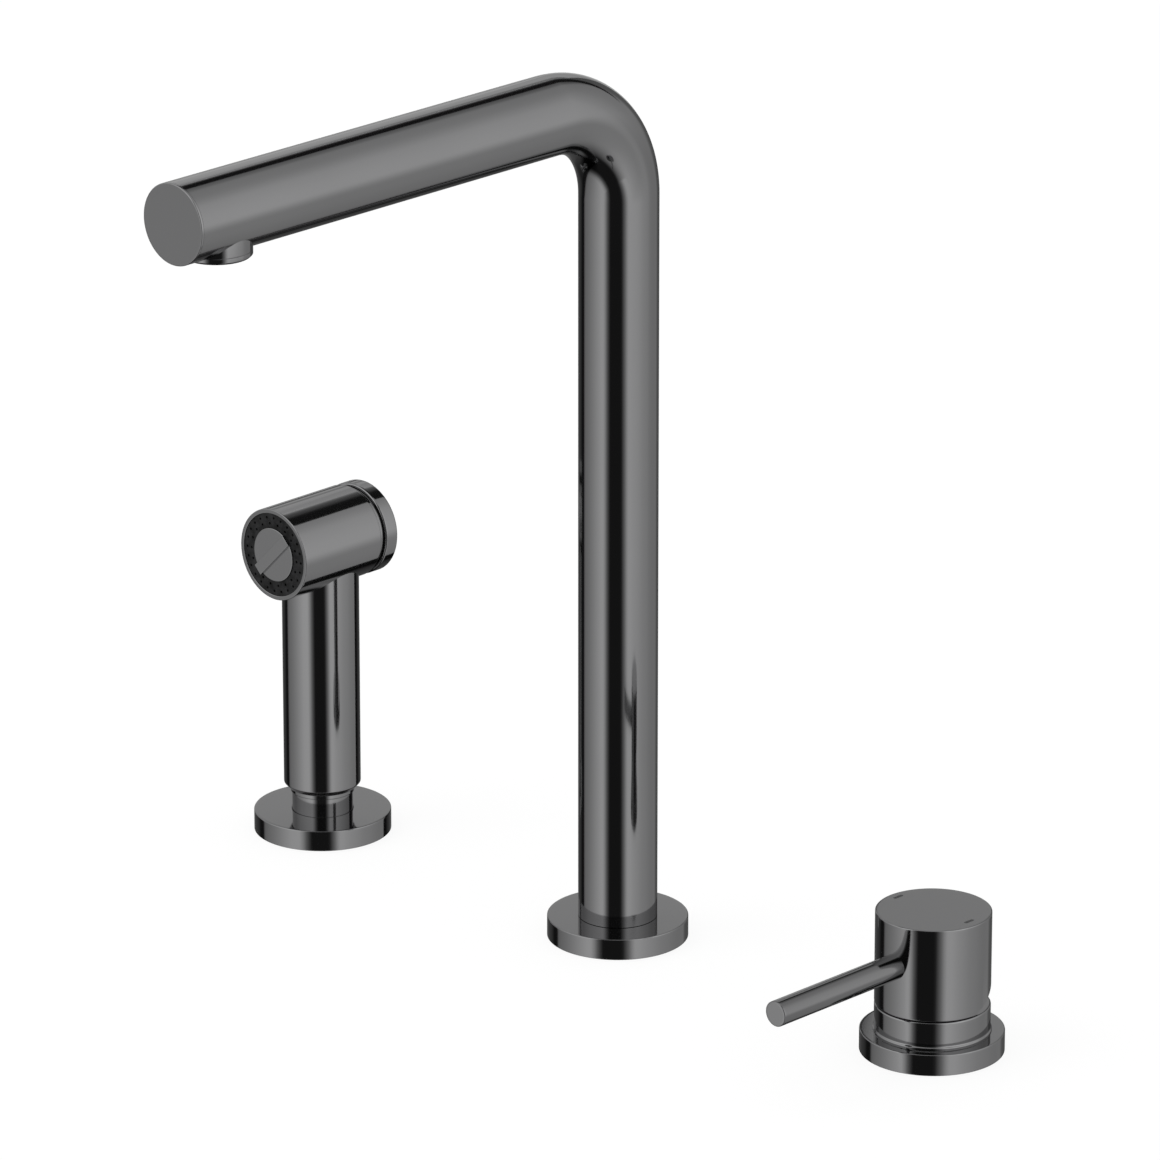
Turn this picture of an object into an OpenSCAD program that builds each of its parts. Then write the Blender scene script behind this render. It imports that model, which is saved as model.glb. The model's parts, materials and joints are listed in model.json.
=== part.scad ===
// Deck-mounted kitchen faucet in three units: pull-out side spray, swivel spout
// and single-lever mixer. The origin is on the spout axis at deck level, +Z is up,
// the units stand in a row along X and the spout arm points to -Y.

/* [Deck and layout] */
// Distance between neighbouring deck holes
hole_pitch = 150; // [110:1:220]
// Diameter of the hole drilled in the deck for each unit
deck_hole_d = 35; // [34.5:0.5:38]
// Thickness of the deck that the clamp nuts are drawn at
deck_t = 30; // [12:1:32]

/* [Flanges and clamps] */
// How far the round flange under each unit reaches past the deck hole
flange_lap = 7.5; // [7:0.5:12]
// Height of a flange above the deck
flange_h = 7.6; // [7:0.1:8.6]
// Wall and top plate thickness of a flange
flange_wall = 2; // [1.6:0.1:2.4]
// Thickness of the gasket between flange and deck
gasket_t = 2; // [1.5:0.1:3]
// Height of the gasket's centring spigot in the deck hole
spigot_h = 4; // [2:0.5:8]
// Thickness of the rubber washer under the deck
rubber_washer_t = 3; // [2:0.5:5]
// Thickness of the steel washer under the rubber one
steel_washer_t = 2; // [1:0.5:3]
// Height of a clamp nut
nut_h = 8; // [6:0.5:10]
// Length of a threaded shank below deck level
shank_drop = 64; // [62:1:90]

/* [Spout] */
// Outer diameter of the spout tube
tube_d = 28; // [27:0.5:30]
// Wall of the spout tube
tube_wall = 2; // [1.6:0.1:2.2]
// Height of the spout arm's axis above the deck
arm_z = 309; // [200:1:400]
// Distance from the spout axis to the arm's closed end
arm_reach = 209; // [150:1:260]
// Centre-line radius of the bend
bend_r = 35; // [30:1:60]
// Thickness of the ring that the spout turns on
slip_ring_t = 0.6; // [0.4:0.1:2]
// Height of the spout's inner post above the deck
post_top = 56; // [54:1:80]
// Diameter of the spout's threaded shank
spout_shank_d = 26; // [25:0.5:28]
// Bore that carries the water up the post
post_bore_d = 13; // [12.6:0.2:14]

/* [Outlet] */
// Distance from the arm's closed end back to the outlet axis
outlet_setback = 19.5; // [19:0.5:60]
// Outer diameter of the outlet
outlet_d = 24; // [23:0.5:24.5]
// How far the outlet stands below the arm
outlet_drop = 0.7; // [0.4:0.1:4]
// Height of the screwed ring at the outlet's mouth
mouth_ring_h = 2.2; // [1.8:0.1:3]

/* [Diverter] */
// Travel of the diverter spool
diverter_travel = 3; // [2:0.1:3.5]
// Outer diameter of a hose nipple
nipple_d = 16.6; // [14:0.1:17]
// Length of a hose nipple
nipple_len = 12; // [8:0.5:16]

/* [Spray] */
// Outer diameter of the spray handle
handle_d = 28; // [27.5:0.5:31]
// Wall of the spray handle tube
handle_wall = 2; // [1.6:0.1:2.4]
// Diameter of the docking neck under the handle
neck_d = 22.2; // [21:0.2:22.6]
// Height of the handle's lower end above the deck
handle_foot_z = 14.7; // [12:0.1:24]
// Height of the spray head's axis above the deck
head_z = 111; // [95:1:150]
// Diameter of the spray head
head_d = 34; // [33:0.5:38]
// Distance from the handle axis to each end of the spray head
head_half = 23.2; // [23:0.1:28]
// Travel of the push button
button_travel = 2.4; // [1:0.1:2.4]
// Length of the push button
button_len = 6.2; // [5.8:0.1:6.6]
// Diameter of the holder's threaded shank
dock_shank_d = 32; // [31.5:0.5:33]
// Depth of the docking socket below deck level
dock_depth = 20; // [12:1:32]

/* [Mixer] */
// Diameter of the mixer body and handle cap
mixer_d = 40; // [39.5:0.5:44]
// Height of the fixed body ring above the deck
body_top_z = 17.3; // [16:0.1:17.5]
// Gap between the body ring and the handle cap
cap_gap = 0.6; // [0.4:0.1:1.2]
// Height of the handle cap's top above the deck
cap_top_z = 51; // [50.5:0.5:70]
// Slope of the cap's relieved rear edge in degrees
relief_slope = 28; // [26:1:32]
// Diameter of the lever rod
lever_d = 9; // [7:0.5:9.5]
// Height of the lever rod's axis above the deck
lever_z = 35.7; // [35.6:0.1:37]
// Distance from the mixer axis to the lever's end
lever_reach = 78.7; // [50:0.1:120]
// Diameter of the mixer's threaded shank
mixer_shank_d = 32; // [31.5:0.5:33]

/* [Hidden] */
$fn = 96;

// Clearances, edges and the overrun of every cut
cut_over = 1;
run_fit = 0.05;
snug = 0.02;
touch_gap = 0.05;
edge = 0.35;

// Tones of metal, rubber, plastic and ceramic
gunmetal = [0.30, 0.30, 0.31];
brass = [0.72, 0.58, 0.30];
steel = [0.75, 0.75, 0.77];
rubber_tone = [0.12, 0.12, 0.12];
plastic_tone = [0.85, 0.85, 0.82];
ceramic_tone = [0.93, 0.92, 0.88];

// Flanges and deck clamps
flange_r = deck_hole_d / 2 + flange_lap;
gasket_r = flange_r - flange_wall;
plate_z = flange_h - flange_wall;
collar_r = 17;
hole_slack = 0.1;
spigot_r = deck_hole_d / 2 - hole_slack;
washer_lap = 5.5;
washer_r = deck_hole_d / 2 + washer_lap;
nut_grip = 4;
shank_end_z = -shank_drop;

// Spout post, its seats and its grooves
tube_r = tube_d / 2;
bore_r = tube_r - tube_wall;
tube_foot_z = flange_h + slip_ring_t;
post_inset = 1.4;
post_r = bore_r - post_inset;
post_bore_r = post_bore_d / 2;
post_nose = 1;
bush_seat = 0.4;
bush_h = 5;
bush_rise = 2;
bush_zs = [tube_foot_z + bush_rise, post_top - bush_rise - bush_h];
grub_rise = 3.8;
grub_z = bush_zs[0] + bush_h + grub_rise;
ring_rise = 8;
ring_pitch = 7;
ring_zs = [grub_z + ring_rise, grub_z + ring_rise + ring_pitch];
post_cord = 2.5;
cord_slack = 0.5;
post_ring_r = bore_r - snug - post_cord / 2;
post_ring_root_r = post_ring_r - post_cord / 2 - snug;
spout_shank_r = spout_shank_d / 2;
slip_inset = 0.6;

// Set screw that keeps the spout on its post
grub_r = 2;
dog_r = 1.2;
dog_reach = 1.2;
dog_play = 0.1;
grub_inset = 0.4;
key_flats = 2;
key_depth = 1.2;
dog_tip_r = post_r - dog_reach;
grub_root_r = dog_tip_r - grub_inset;

// Spout arm, its end cap and its outlet
bend_z = arm_z - bend_r;
end_plate_t = 1;
end_spigot = 5;
end_wall = 1.5;
arm_len = arm_reach - bend_r - end_plate_t;
outlet_y = -(arm_reach - outlet_setback);
outlet_r = outlet_d / 2;
outlet_z = arm_z - tube_r - outlet_drop;
socket_z = outlet_z + mouth_ring_h;
mouth_chamfer = 0.7;
seam_chamfer = 0.2;
thread_wall = 1.1;
thread_r = outlet_r - thread_wall;
thread_h = 5.2;
shelf_z = socket_z + thread_h;
shelf_t = 1.8;
throat_r = 7.5;
aerator_seal_t = 0.7;
shell_top_z = shelf_z - aerator_seal_t;
shell_wall = 1.3;
shell_bore_r = thread_r - shell_wall;
lip_w = 0.7;
lip_h = 0.8;
screen_t = 0.4;
cell_flats = 1.9;
cell_pitch = 2.35;
cell_rows = 3;

// Diverter tee below the spout
seat_rise = 8;
seat_t = 2;
seat_hole_r = 5;
seat_z = shank_end_z + seat_rise;
cup_slack = 0.3;
cup_r = post_bore_r - cup_slack;
cup_t = 2;
cup_z = seat_z + diverter_travel + touch_gap;
spool_stem_r = 2;
spool_head_r = 3;
spool_head_t = 1;
tee_lap = 8;
tee_wall = 2.5;
tee_r = spout_shank_r + tee_wall;
tee_top_z = shank_end_z + tee_lap;
chamber_r = 11;
chamber_h = 16;
tee_floor_t = 8;
chamber_z = shank_end_z - chamber_h;
tee_z = chamber_z - tee_floor_t;
piston_r = 8;
piston_t = 2;
piston_drop = 8;
piston_z = shank_end_z - piston_drop;
boss_r = 8.4;
boss_z = piston_z - diverter_travel - touch_gap;
nipple_r = nipple_d / 2;
nipple_z = tee_z - nipple_len;
outlet_bore_r = 5;
ledge_drop = 5;
ledge_z = chamber_z - ledge_drop;
ledge_bore_r = 3.7;
inlet_bore_r = 4.5;
inlet_shoulder_t = 1.5;
inlet_shoulder_w = 1.7;
inlet_seat_y = tee_r + inlet_shoulder_t;
inlet_drop = 8;
inlet_z = shank_end_z - inlet_drop;
diverter_coil_r = 4.2;
diverter_wire_r = 0.35;
diverter_turns = 6;

// Holder and docking socket of the spray
neck_r = neck_d / 2;
neck_slack = 0.3;
dock_shank_r = dock_shank_d / 2;
dock_wall = 3;
dock_bore_r = dock_shank_r - dock_wall;
hose_ledge = 1;
hose_bore_r = dock_bore_r - hose_ledge;
dock_z = -dock_depth;
lip_t = 2;
lip_inset = 2;
neck_z = dock_z + lip_t + touch_gap;
neck_chamfer = 1;

// Swivel between the neck and the handle
shoulder_rise = 2;
shoulder_z = handle_foot_z + shoulder_rise;
spigot_step = 1.6;
swivel_r = neck_r - spigot_step;
swivel_h = 13;
swivel_top_z = shoulder_z + swivel_h;
swivel_over = 4;
neck_bore_r = 4.5;
hose_thread_r = 7.5;
hose_thread_h = 10;
neck_cord = 1.8;
neck_ring_rise = 7;
neck_ring_z = shoulder_z + neck_ring_rise;
neck_ring_r = swivel_r + run_fit - snug - neck_cord / 2;
neck_ring_root_r = neck_ring_r - neck_cord / 2 - snug;
clip_t = 1;
clip_seat = 0.9;
clip_lip = 1.5;
clip_root_r = swivel_r - clip_seat;

// Spray handle and head; the head is drawn along +Z and turned to point to -Y
handle_r = handle_d / 2;
foot_chamfer = 1;
foot_rise = 2.6;
head_r = head_d / 2;
button_slack = 0.2;
button_gap = button_travel + button_slack;
head_back_z = -(head_half - button_len - button_gap);
head_wall = 2.6;
chamber_wall = 3;
head_bore_r = head_r - head_wall;
head_inner_z = head_back_z + chamber_wall;
pad_t = 3.3;
pad_inset = 0.3;
pad_rim = 1.6;
pad_r = head_r - pad_rim;
pad_z = head_half - pad_inset - pad_t;
pad_top_z = pad_z + pad_t;
boss_h = 3;
guide_boss_r = 15.2;
pocket_slack = 0.3;
pocket_depth = 3.2;
boss_back_z = head_back_z - boss_h;
button_z = -head_half;
button_front_z = button_z + button_len;
pocket_z = button_front_z - pocket_depth;
button_edge = 0.8;
dish_ball_r = 60;
dish_depth = 1;
button_skin = 0.8;

// Spray valve inside the head
valve_r = 10.5;
valve_cavity_r = 8.5;
valve_gap = 3.4;
valve_wall = 3;
valve_back_z = head_inner_z + valve_gap;
valve_seat_z = valve_back_z + valve_wall;
valve_front_z = 12;
plug_t = 3.5;
plug_z = valve_front_z - plug_t;
seat_port_r = 4;
feed_r = 6;
feed_bore_r = 4;
feed_over = 6;
stem_r = 2.5;
stem_tail_r = 1.5;
stem_tail_h = button_len - pocket_depth - dish_depth - button_skin;
valve_disc_r = 5.5;
valve_disc_t = 1.5;
valve_seal_t = 0.95;
valve_seal_r = 6;
valve_seal_z = valve_seat_z + touch_gap;
valve_disc_z = valve_seal_z + valve_seal_t;
stem_front_z = valve_disc_z + valve_disc_t;
stem_cord = 1.6;
stem_ring_r = stem_r + snug + stem_cord / 2;
stem_groove_r = stem_ring_r + stem_cord / 2 + snug;
stem_ring_z = (head_inner_z + boss_back_z) / 2;
button_coil_r = 4.6;
button_wire_r = 0.4;
button_turns = 5;

// Spray face
disc_r = 9.9;
disc_t = 0.5;
bar_w = 4.3;
bar_t = 0.9;
bar_angle = 45;
bar_share = 0.98;
disc_top_z = pad_top_z + disc_t;
face_stud_r = 2.45;
stud_gap = 1;
nozzle_r = 0.5;
nozzle_ring_rs = [11.6, 13.8];
nozzle_counts = [18, 24];

// Mixer body and clamp
mixer_r = mixer_d / 2;
mixer_shank_r = mixer_shank_d / 2;
shadow_h = 0.4;
shadow_inset = 0.6;
body_neck_r = 14.5;
chamber_floor_z = gasket_t;
cartridge_r = 12.4;
cartridge_bore_r = cartridge_r + hole_slack;
port_ring_r = 8.5;
port_r = 4.5;
port_cap = 4;
port_top_z = chamber_floor_z - port_cap;
feed_hole_r = 2.4;
port_angles = [90, 210, 330];
feed_ring_rs = [5, 7.2, 7.2];

// Cartridge, stacked upwards from the chamber floor
base_t = 3;
seal_h = 1.08;
seal_wall = 1.25;
seal_pocket = 1.1;
ceramic_t = 3;
fixed_disc_r = 10.6;
fixed_z = chamber_floor_z + base_t;
moving_z = fixed_z + ceramic_t + snug;
moving_t = 5.5;
moving_r = 8;
moving_offset = 1.7;
mix_r = 5.2;
mix_depth = 1.2;
ball_r = 2;
ball_rise = 2.1;
ball_floor_t = 2.2;
ball_z = moving_z + ball_floor_t + ball_rise;
ball_play = 0.15;
turret_z = moving_z + moving_t + touch_gap;
turret_r = 10.5;
turret_h = 8.8;
turret_top_z = turret_z + turret_h;
turret_neck_r = 8;
turret_neck_h = 7;
neck_top_z = turret_top_z + turret_neck_h;
housing_bore_r = 10.8;
housing_top_t = 2;
housing_plate_z = turret_top_z + touch_gap;
housing_top_z = housing_plate_z + housing_top_t;
pivot_rise = 6.43;
pivot_z = turret_z + pivot_rise;
pin_r = 1.5;
pin_slack = 0.2;
stem_rod_r = 1.6;
stem_w = 5;
stem_play = 0.1;
bar_rise = 1.4;
bar_z = turret_z + bar_rise;
slot_half = 8;
nut_thread_h = 4;
nut_flange_t = 2;
nut_bore_slack = 0.6;
nut_flange_inset = 0.3;
body_neck_z = housing_top_z + nut_thread_h;
nut_top_z = body_neck_z + nut_flange_t;
notch_w = 3;

// Handle cap, lever stem and lever rod
cap_z = body_top_z + cap_gap;
cap_wall = 2.2;
cap_bore_r = mixer_r - cap_wall;
cap_block_h = 13.5;
cap_ceiling_z = cap_top_z - cap_block_h;
block_w = 8;
block_rise = 14;
block_z = pivot_z + block_rise;
block_top_inset = 6.2;
block_top_z = cap_top_z - block_top_inset;
lever_r = lever_d / 2;
lever_seat = 2.6;
lever_seat_y = mixer_r - lever_seat;
stud_r = 3;
lever_boss_r = 5.5;
lever_boss_h = 5.2;
lever_boss_y = mixer_r - lever_boss_h;
cap_grub_r = 2.5;
cap_grub_len = 6;
cap_grub_z = (cap_ceiling_z + block_top_z) / 2;
cap_key_flats = 2.5;

// A cylinder of radius r standing from z0 up to z1
module rod(r, z0, z1) {
    translate([0, 0, z0]) cylinder(r = r, h = z1 - z0);
}

// A round ring between two radii and two heights
module ring(r_out, r_in, z0, z1) {
    difference() {
        rod(r_out, z0, z1);
        rod(r_in, z0 - cut_over, z1 + cut_over);
    }
}

// A turned cylinder with a lower chamfer c0 and an upper chamfer c1
module turned(r, z0, z1, c0, c1) {
    rotate_extrude()
        polygon([[0, z0], [r - c0, z0], [r, z0 + c0], [r, z1 - c1], [r - c1, z1], [0, z1]]);
}

// A rubber ring of round section, centred at height z
module o_ring(mid_r, cord, z) {
    translate([0, 0, z]) rotate_extrude() translate([mid_r, 0]) circle(r = cord / 2);
}

// A six-sided bar, measured across its flats
module hex_bar(flats, z0, z1) {
    translate([0, 0, z0]) cylinder(r = flats / 2 / cos(30), h = z1 - z0, $fn = 6);
}

// Lay a piece drawn along +Z so that it points to -Y or to +Y at height z
module point_front(z) {
    translate([0, 0, z]) rotate([90, 0, 0]) children();
}
module point_back(z) {
    translate([0, 0, z]) rotate([-90, 0, 0]) children();
}

// A compression spring: one wire swept along a helix as a closed tube
coil_steps = 12;
wire_sides = 6;
function coil_ring(mid_r, wire_r, angle, z) = [
    for (k = [0:wire_sides - 1])
        let (a = 360 * k / wire_sides, r = mid_r + wire_r * cos(a))
        [r * cos(angle), r * sin(angle), z + wire_r * sin(a)]
];
module coil_spring(mid_r, wire_r, z0, z1, turns) {
    rings = turns * coil_steps;
    rise = (z1 - z0 - 2 * wire_r) / rings;
    points = [for (i = [0:rings]) each coil_ring(mid_r, wire_r, 360 * i / coil_steps,
        z0 + wire_r + i * rise)];
    sides = [for (i = [0:rings - 1], k = [0:wire_sides - 1])
        let (a = i * wire_sides + k, b = i * wire_sides + (k + 1) % wire_sides)
        each [[a, b, b + wire_sides], [a, b + wire_sides, a + wire_sides]]];
    first = [for (k = [1:wire_sides - 2]) [0, k + 1, k]];
    last_i = rings * wire_sides;
    last = [for (k = [1:wire_sides - 2]) [last_i, last_i + k, last_i + k + 1]];
    polyhedron(points = points, faces = concat(sides, first, last));
}

// Holes laid out as a hexagonal honeycomb
module honeycomb(flats, z0, z1) {
    for (i = [-cell_rows:cell_rows], j = [-cell_rows:cell_rows])
        if (abs(i + j) <= cell_rows)
            translate([cell_pitch * (i + j / 2), cell_pitch * j * sin(60), 0])
                hex_bar(flats, z0, z1);
}

// Flange, gasket, washers and nut that every unit has
module flange_ring(hole_r) {
    difference() {
        turned(flange_r, 0, flange_h, 0, edge);
        rod(gasket_r, -cut_over, gasket_t);
        rod(collar_r + run_fit, 0, plate_z);
        rod(hole_r, 0, flange_h + cut_over);
    }
}
module deck_gasket(shank_r) {
    ring(gasket_r - snug, shank_r + snug, 0, gasket_t);
    ring(spigot_r, shank_r + snug, -spigot_h, gasket_t);
}
module deck_washer(shank_r, top_z, t) {
    ring(washer_r, shank_r + hole_slack, top_z - t, top_z);
}
module deck_nut(shank_r) {
    top_z = -deck_t - rubber_washer_t - steel_washer_t;
    difference() {
        hex_bar(2 * (shank_r + nut_grip), top_z - nut_h, top_z);
        rod(shank_r + snug, top_z - nut_h - cut_over, top_z + cut_over);
    }
}

// The three water ways of the mixer: wide ports below, feed holes at the cartridge
module at_ports() {
    for (a = port_angles) rotate([0, 0, a]) translate([port_ring_r, 0, 0]) children();
}
module at_feeds() {
    for (n = [0:len(port_angles) - 1])
        rotate([0, 0, port_angles[n]]) translate([feed_ring_rs[n], 0, 0]) children();
}

// Places of the outer two units
module at_spray() {
    translate([-hole_pitch, 0, 0]) children();
}
module at_mixer() {
    translate([hole_pitch, 0, 0]) children();
}

// Spout unit, fixed pieces
module spout_flange() {
    color(gunmetal) flange_ring(post_r + run_fit);
}
module spout_gasket() {
    color(rubber_tone) deck_gasket(spout_shank_r);
}
module spout_post() {
    color(brass) difference() {
        union() {
            turned(post_r, gasket_t, post_top, 0, post_nose);
            rod(collar_r, gasket_t, plate_z);
            rod(spout_shank_r, shank_end_z, plate_z);
        }
        rod(post_bore_r, seat_z, post_top + cut_over);
        rod(seat_hole_r, seat_z - seat_t - cut_over, seat_z + cut_over);
        rod(post_bore_r, shank_end_z - cut_over, seat_z - seat_t);
        for (z = bush_zs) ring(post_r + cut_over, post_r - bush_seat, z, z + bush_h);
        for (z = ring_zs)
            ring(post_r + cut_over, post_ring_root_r, z - (post_cord + cord_slack) / 2,
                z + (post_cord + cord_slack) / 2);
        ring(post_r + cut_over, grub_root_r, grub_z - dog_r - dog_play, grub_z + dog_r + dog_play);
    }
}
module slip_ring() {
    color(rubber_tone) ring(tube_r - slip_inset, post_r + run_fit, flange_h, tube_foot_z - touch_gap);
}
module post_bushes() {
    color(plastic_tone) for (z = bush_zs)
        ring(bore_r - run_fit, post_r - bush_seat + snug, z + snug, z + bush_h - snug);
}
module post_orings() {
    color(rubber_tone) for (z = ring_zs) o_ring(post_ring_r, post_cord, z);
}
module spout_rubber_washer() {
    color(rubber_tone) deck_washer(spout_shank_r, -deck_t, rubber_washer_t);
}
module spout_steel_washer() {
    color(steel) deck_washer(spout_shank_r, -deck_t - rubber_washer_t, steel_washer_t);
}
module spout_nut() {
    color(brass) deck_nut(spout_shank_r);
}

// Diverter below the spout: tee with a rear inlet and a lower spray outlet
module diverter_tee() {
    color(brass) difference() {
        union() {
            rod(tee_r, tee_z, tee_top_z);
            rod(nipple_r, nipple_z, chamber_z);
            point_back(inlet_z) rod(nipple_r + inlet_shoulder_w, chamber_r, inlet_seat_y);
            point_back(inlet_z) rod(nipple_r, chamber_r, inlet_seat_y + nipple_len);
        }
        rod(spout_shank_r + snug, shank_end_z, tee_top_z + cut_over);
        ring(chamber_r, boss_r, chamber_z, shank_end_z + cut_over);
        rod(boss_r + snug, boss_z, shank_end_z + cut_over);
        rod(outlet_bore_r, ledge_z, boss_z + cut_over);
        rod(ledge_bore_r, nipple_z - cut_over, ledge_z + cut_over);
        point_back(inlet_z) rod(inlet_bore_r, 0, inlet_seat_y + nipple_len + cut_over);
    }
}
module diverter_spool() {
    color(brass) {
        rod(spool_stem_r, piston_z, cup_z + cup_t + spool_head_t);
        rod(piston_r, piston_z, piston_z + piston_t);
        rod(spool_head_r, cup_z + cup_t, cup_z + cup_t + spool_head_t);
    }
}
module diverter_cup() {
    color(rubber_tone) ring(cup_r, spool_stem_r + snug, cup_z, cup_z + cup_t - snug);
}
module diverter_spring() {
    color(steel) coil_spring(diverter_coil_r, diverter_wire_r, ledge_z + touch_gap,
        piston_z - touch_gap, diverter_turns);
}

// Spout tube: a post, a bend and an arm, as a solid of radius r
module spout_form(r, extra) {
    rod(r, tube_foot_z - extra, bend_z);
    translate([0, -bend_r, bend_z]) rotate([90, 0, 90])
        rotate_extrude(angle = 90) translate([bend_r, 0]) circle(r = r);
    point_front(arm_z) rod(r, bend_r, bend_r + arm_len + extra);
}
module spout_tube() {
    color(gunmetal) difference() {
        spout_form(tube_r, 0);
        spout_form(bore_r, cut_over);
        translate([0, outlet_y, 0]) rod(outlet_r + snug, arm_z - tube_r - cut_over, shelf_z + shelf_t);
        point_back(grub_z) rod(grub_r + snug, 0, tube_r + cut_over);
    }
}
module spout_end_cap() {
    color(gunmetal) point_front(arm_z) difference() {
        union() {
            turned(tube_r, arm_reach - end_plate_t, arm_reach, 0, edge);
            rod(bore_r - snug, arm_reach - end_plate_t - end_spigot, arm_reach - end_plate_t / 2);
        }
        rod(bore_r - end_wall, arm_reach - end_plate_t - end_spigot - cut_over, arm_reach - end_plate_t);
    }
}
module spout_grub_screw() {
    color(steel) point_back(grub_z) difference() {
        union() {
            rod(grub_r, post_r + grub_inset, tube_r - grub_inset);
            rod(dog_r, dog_tip_r, post_r + 2 * grub_inset);
        }
        hex_bar(key_flats, tube_r - grub_inset - key_depth, tube_r + cut_over);
    }
}

// Outlet under the arm: brazed socket, screwed mouth ring and aerator
module outlet_socket() {
    color(gunmetal) translate([0, outlet_y, 0]) difference() {
        rod(outlet_r, socket_z, shelf_z + shelf_t - touch_gap);
        rod(thread_r, socket_z - cut_over, shelf_z);
        rod(throat_r, socket_z, shelf_z + shelf_t);
    }
}
module aerator_shell() {
    color(gunmetal) translate([0, outlet_y, 0]) difference() {
        union() {
            turned(outlet_r, outlet_z, socket_z, mouth_chamfer, seam_chamfer);
            rod(thread_r - snug, outlet_z + mouth_chamfer, shell_top_z);
        }
        rod(shell_bore_r, outlet_z + lip_h, shell_top_z + cut_over);
        rod(shell_bore_r - lip_w, outlet_z - cut_over, outlet_z + lip_h + cut_over);
    }
}
module aerator_insert() {
    color(plastic_tone) translate([0, outlet_y, 0]) difference() {
        rod(shell_bore_r - snug, outlet_z + lip_h, shell_top_z - screen_t);
        honeycomb(cell_flats, outlet_z, shell_top_z);
    }
}
module aerator_screen() {
    color(steel) translate([0, outlet_y, 0]) difference() {
        rod(shell_bore_r - snug, shell_top_z - screen_t, shell_top_z);
        honeycomb(cell_flats / 2, shell_top_z - screen_t - cut_over, shell_top_z + cut_over);
    }
}
module aerator_seal() {
    color(rubber_tone) translate([0, outlet_y, 0]) ring(thread_r - snug, throat_r, shell_top_z, shelf_z);
}

// Spray unit, fixed holder
module holder_flange() {
    color(gunmetal) at_spray() flange_ring(neck_r + neck_slack);
}
module holder_gasket() {
    color(rubber_tone) at_spray() deck_gasket(dock_shank_r);
}
module holder_shank() {
    color(brass) at_spray() difference() {
        union() {
            rod(dock_shank_r, shank_end_z, plate_z);
            rod(collar_r, gasket_t, plate_z);
        }
        rod(dock_bore_r, dock_z, plate_z + cut_over);
        rod(hose_bore_r, shank_end_z - cut_over, dock_z + cut_over);
    }
}
module dock_liner() {
    color(plastic_tone) at_spray() difference() {
        rod(dock_bore_r - snug, dock_z, plate_z);
        rod(neck_r + run_fit, dock_z + lip_t, plate_z + cut_over);
        rod(neck_r - lip_inset, dock_z - cut_over, dock_z + lip_t + cut_over);
    }
}
module holder_rubber_washer() {
    color(rubber_tone) at_spray() deck_washer(dock_shank_r, -deck_t, rubber_washer_t);
}
module holder_steel_washer() {
    color(steel) at_spray() deck_washer(dock_shank_r, -deck_t - rubber_washer_t, steel_washer_t);
}
module holder_nut() {
    color(brass) at_spray() deck_nut(dock_shank_r);
}

// Spray unit, docking neck with the hose thread
module spray_neck() {
    color(gunmetal) at_spray() difference() {
        union() {
            turned(neck_r, neck_z, shoulder_z, neck_chamfer, 0);
            rod(swivel_r, neck_z + neck_chamfer, swivel_top_z + swivel_over);
            rod(hose_thread_r, neck_z - hose_thread_h, shoulder_z);
        }
        rod(neck_bore_r, neck_z - hose_thread_h - cut_over, swivel_top_z + swivel_over + cut_over);
        ring(swivel_r + cut_over, neck_ring_root_r, neck_ring_z - (neck_cord + cord_slack) / 2,
            neck_ring_z + (neck_cord + cord_slack) / 2);
        ring(swivel_r + cut_over, clip_root_r, swivel_top_z + snug, swivel_top_z + clip_t + 2 * touch_gap);
    }
}
module neck_oring() {
    color(rubber_tone) at_spray() o_ring(neck_ring_r, neck_cord, neck_ring_z);
}
module neck_clip() {
    color(steel) at_spray() ring(swivel_r + clip_lip, clip_root_r + snug, swivel_top_z + touch_gap,
        swivel_top_z + touch_gap + clip_t);
}

// Spray unit, handle and head
module spray_handle() {
    color(gunmetal) at_spray() difference() {
        rotate_extrude() polygon([[0, handle_foot_z], [handle_r - foot_chamfer, handle_foot_z],
            [handle_r, handle_foot_z + foot_rise], [handle_r, head_z], [0, head_z]]);
        rod(neck_r + neck_slack, handle_foot_z - cut_over, shoulder_z + touch_gap);
        rod(swivel_r + run_fit, handle_foot_z, swivel_top_z);
        rod(handle_r - handle_wall, swivel_top_z, head_z + cut_over);
        point_front(head_z) rod(head_r + snug, -head_r - cut_over, head_r + cut_over);
    }
}
module in_head() {
    at_spray() point_front(head_z) children();
}
module spray_head() {
    color(gunmetal) in_head() difference() {
        union() {
            turned(head_r, head_back_z, head_half, edge, edge);
            rod(guide_boss_r, boss_back_z, head_back_z + cut_over);
        }
        rod(head_bore_r, head_inner_z, pad_z + cut_over);
        rod(pad_r, pad_z, head_half + cut_over);
        rod(stem_r + run_fit, boss_back_z - cut_over, head_inner_z + cut_over);
        rod(stem_groove_r, stem_ring_z - (stem_cord + cord_slack) / 2,
            stem_ring_z + (stem_cord + cord_slack) / 2);
        rotate([90, 0, 0]) rod(feed_r + run_fit, 0, head_r + cut_over);
    }
}
module spray_valve_body() {
    color(brass) in_head() difference() {
        union() {
            rod(valve_r, valve_back_z, valve_front_z);
            rotate([90, 0, 0]) rod(feed_r, valve_cavity_r, head_r + feed_over);
        }
        rod(valve_cavity_r, valve_seat_z, valve_front_z + cut_over);
        rod(seat_port_r, valve_back_z - cut_over, valve_seat_z + cut_over);
        rotate([90, 0, 0]) rod(feed_bore_r, 0, head_r + feed_over + cut_over);
    }
}
module valve_plug() {
    color(brass) in_head() difference() {
        rod(valve_cavity_r - snug, plug_z, valve_front_z);
        rod(face_stud_r + snug, plug_z + stud_gap, valve_front_z + cut_over);
    }
}
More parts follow.
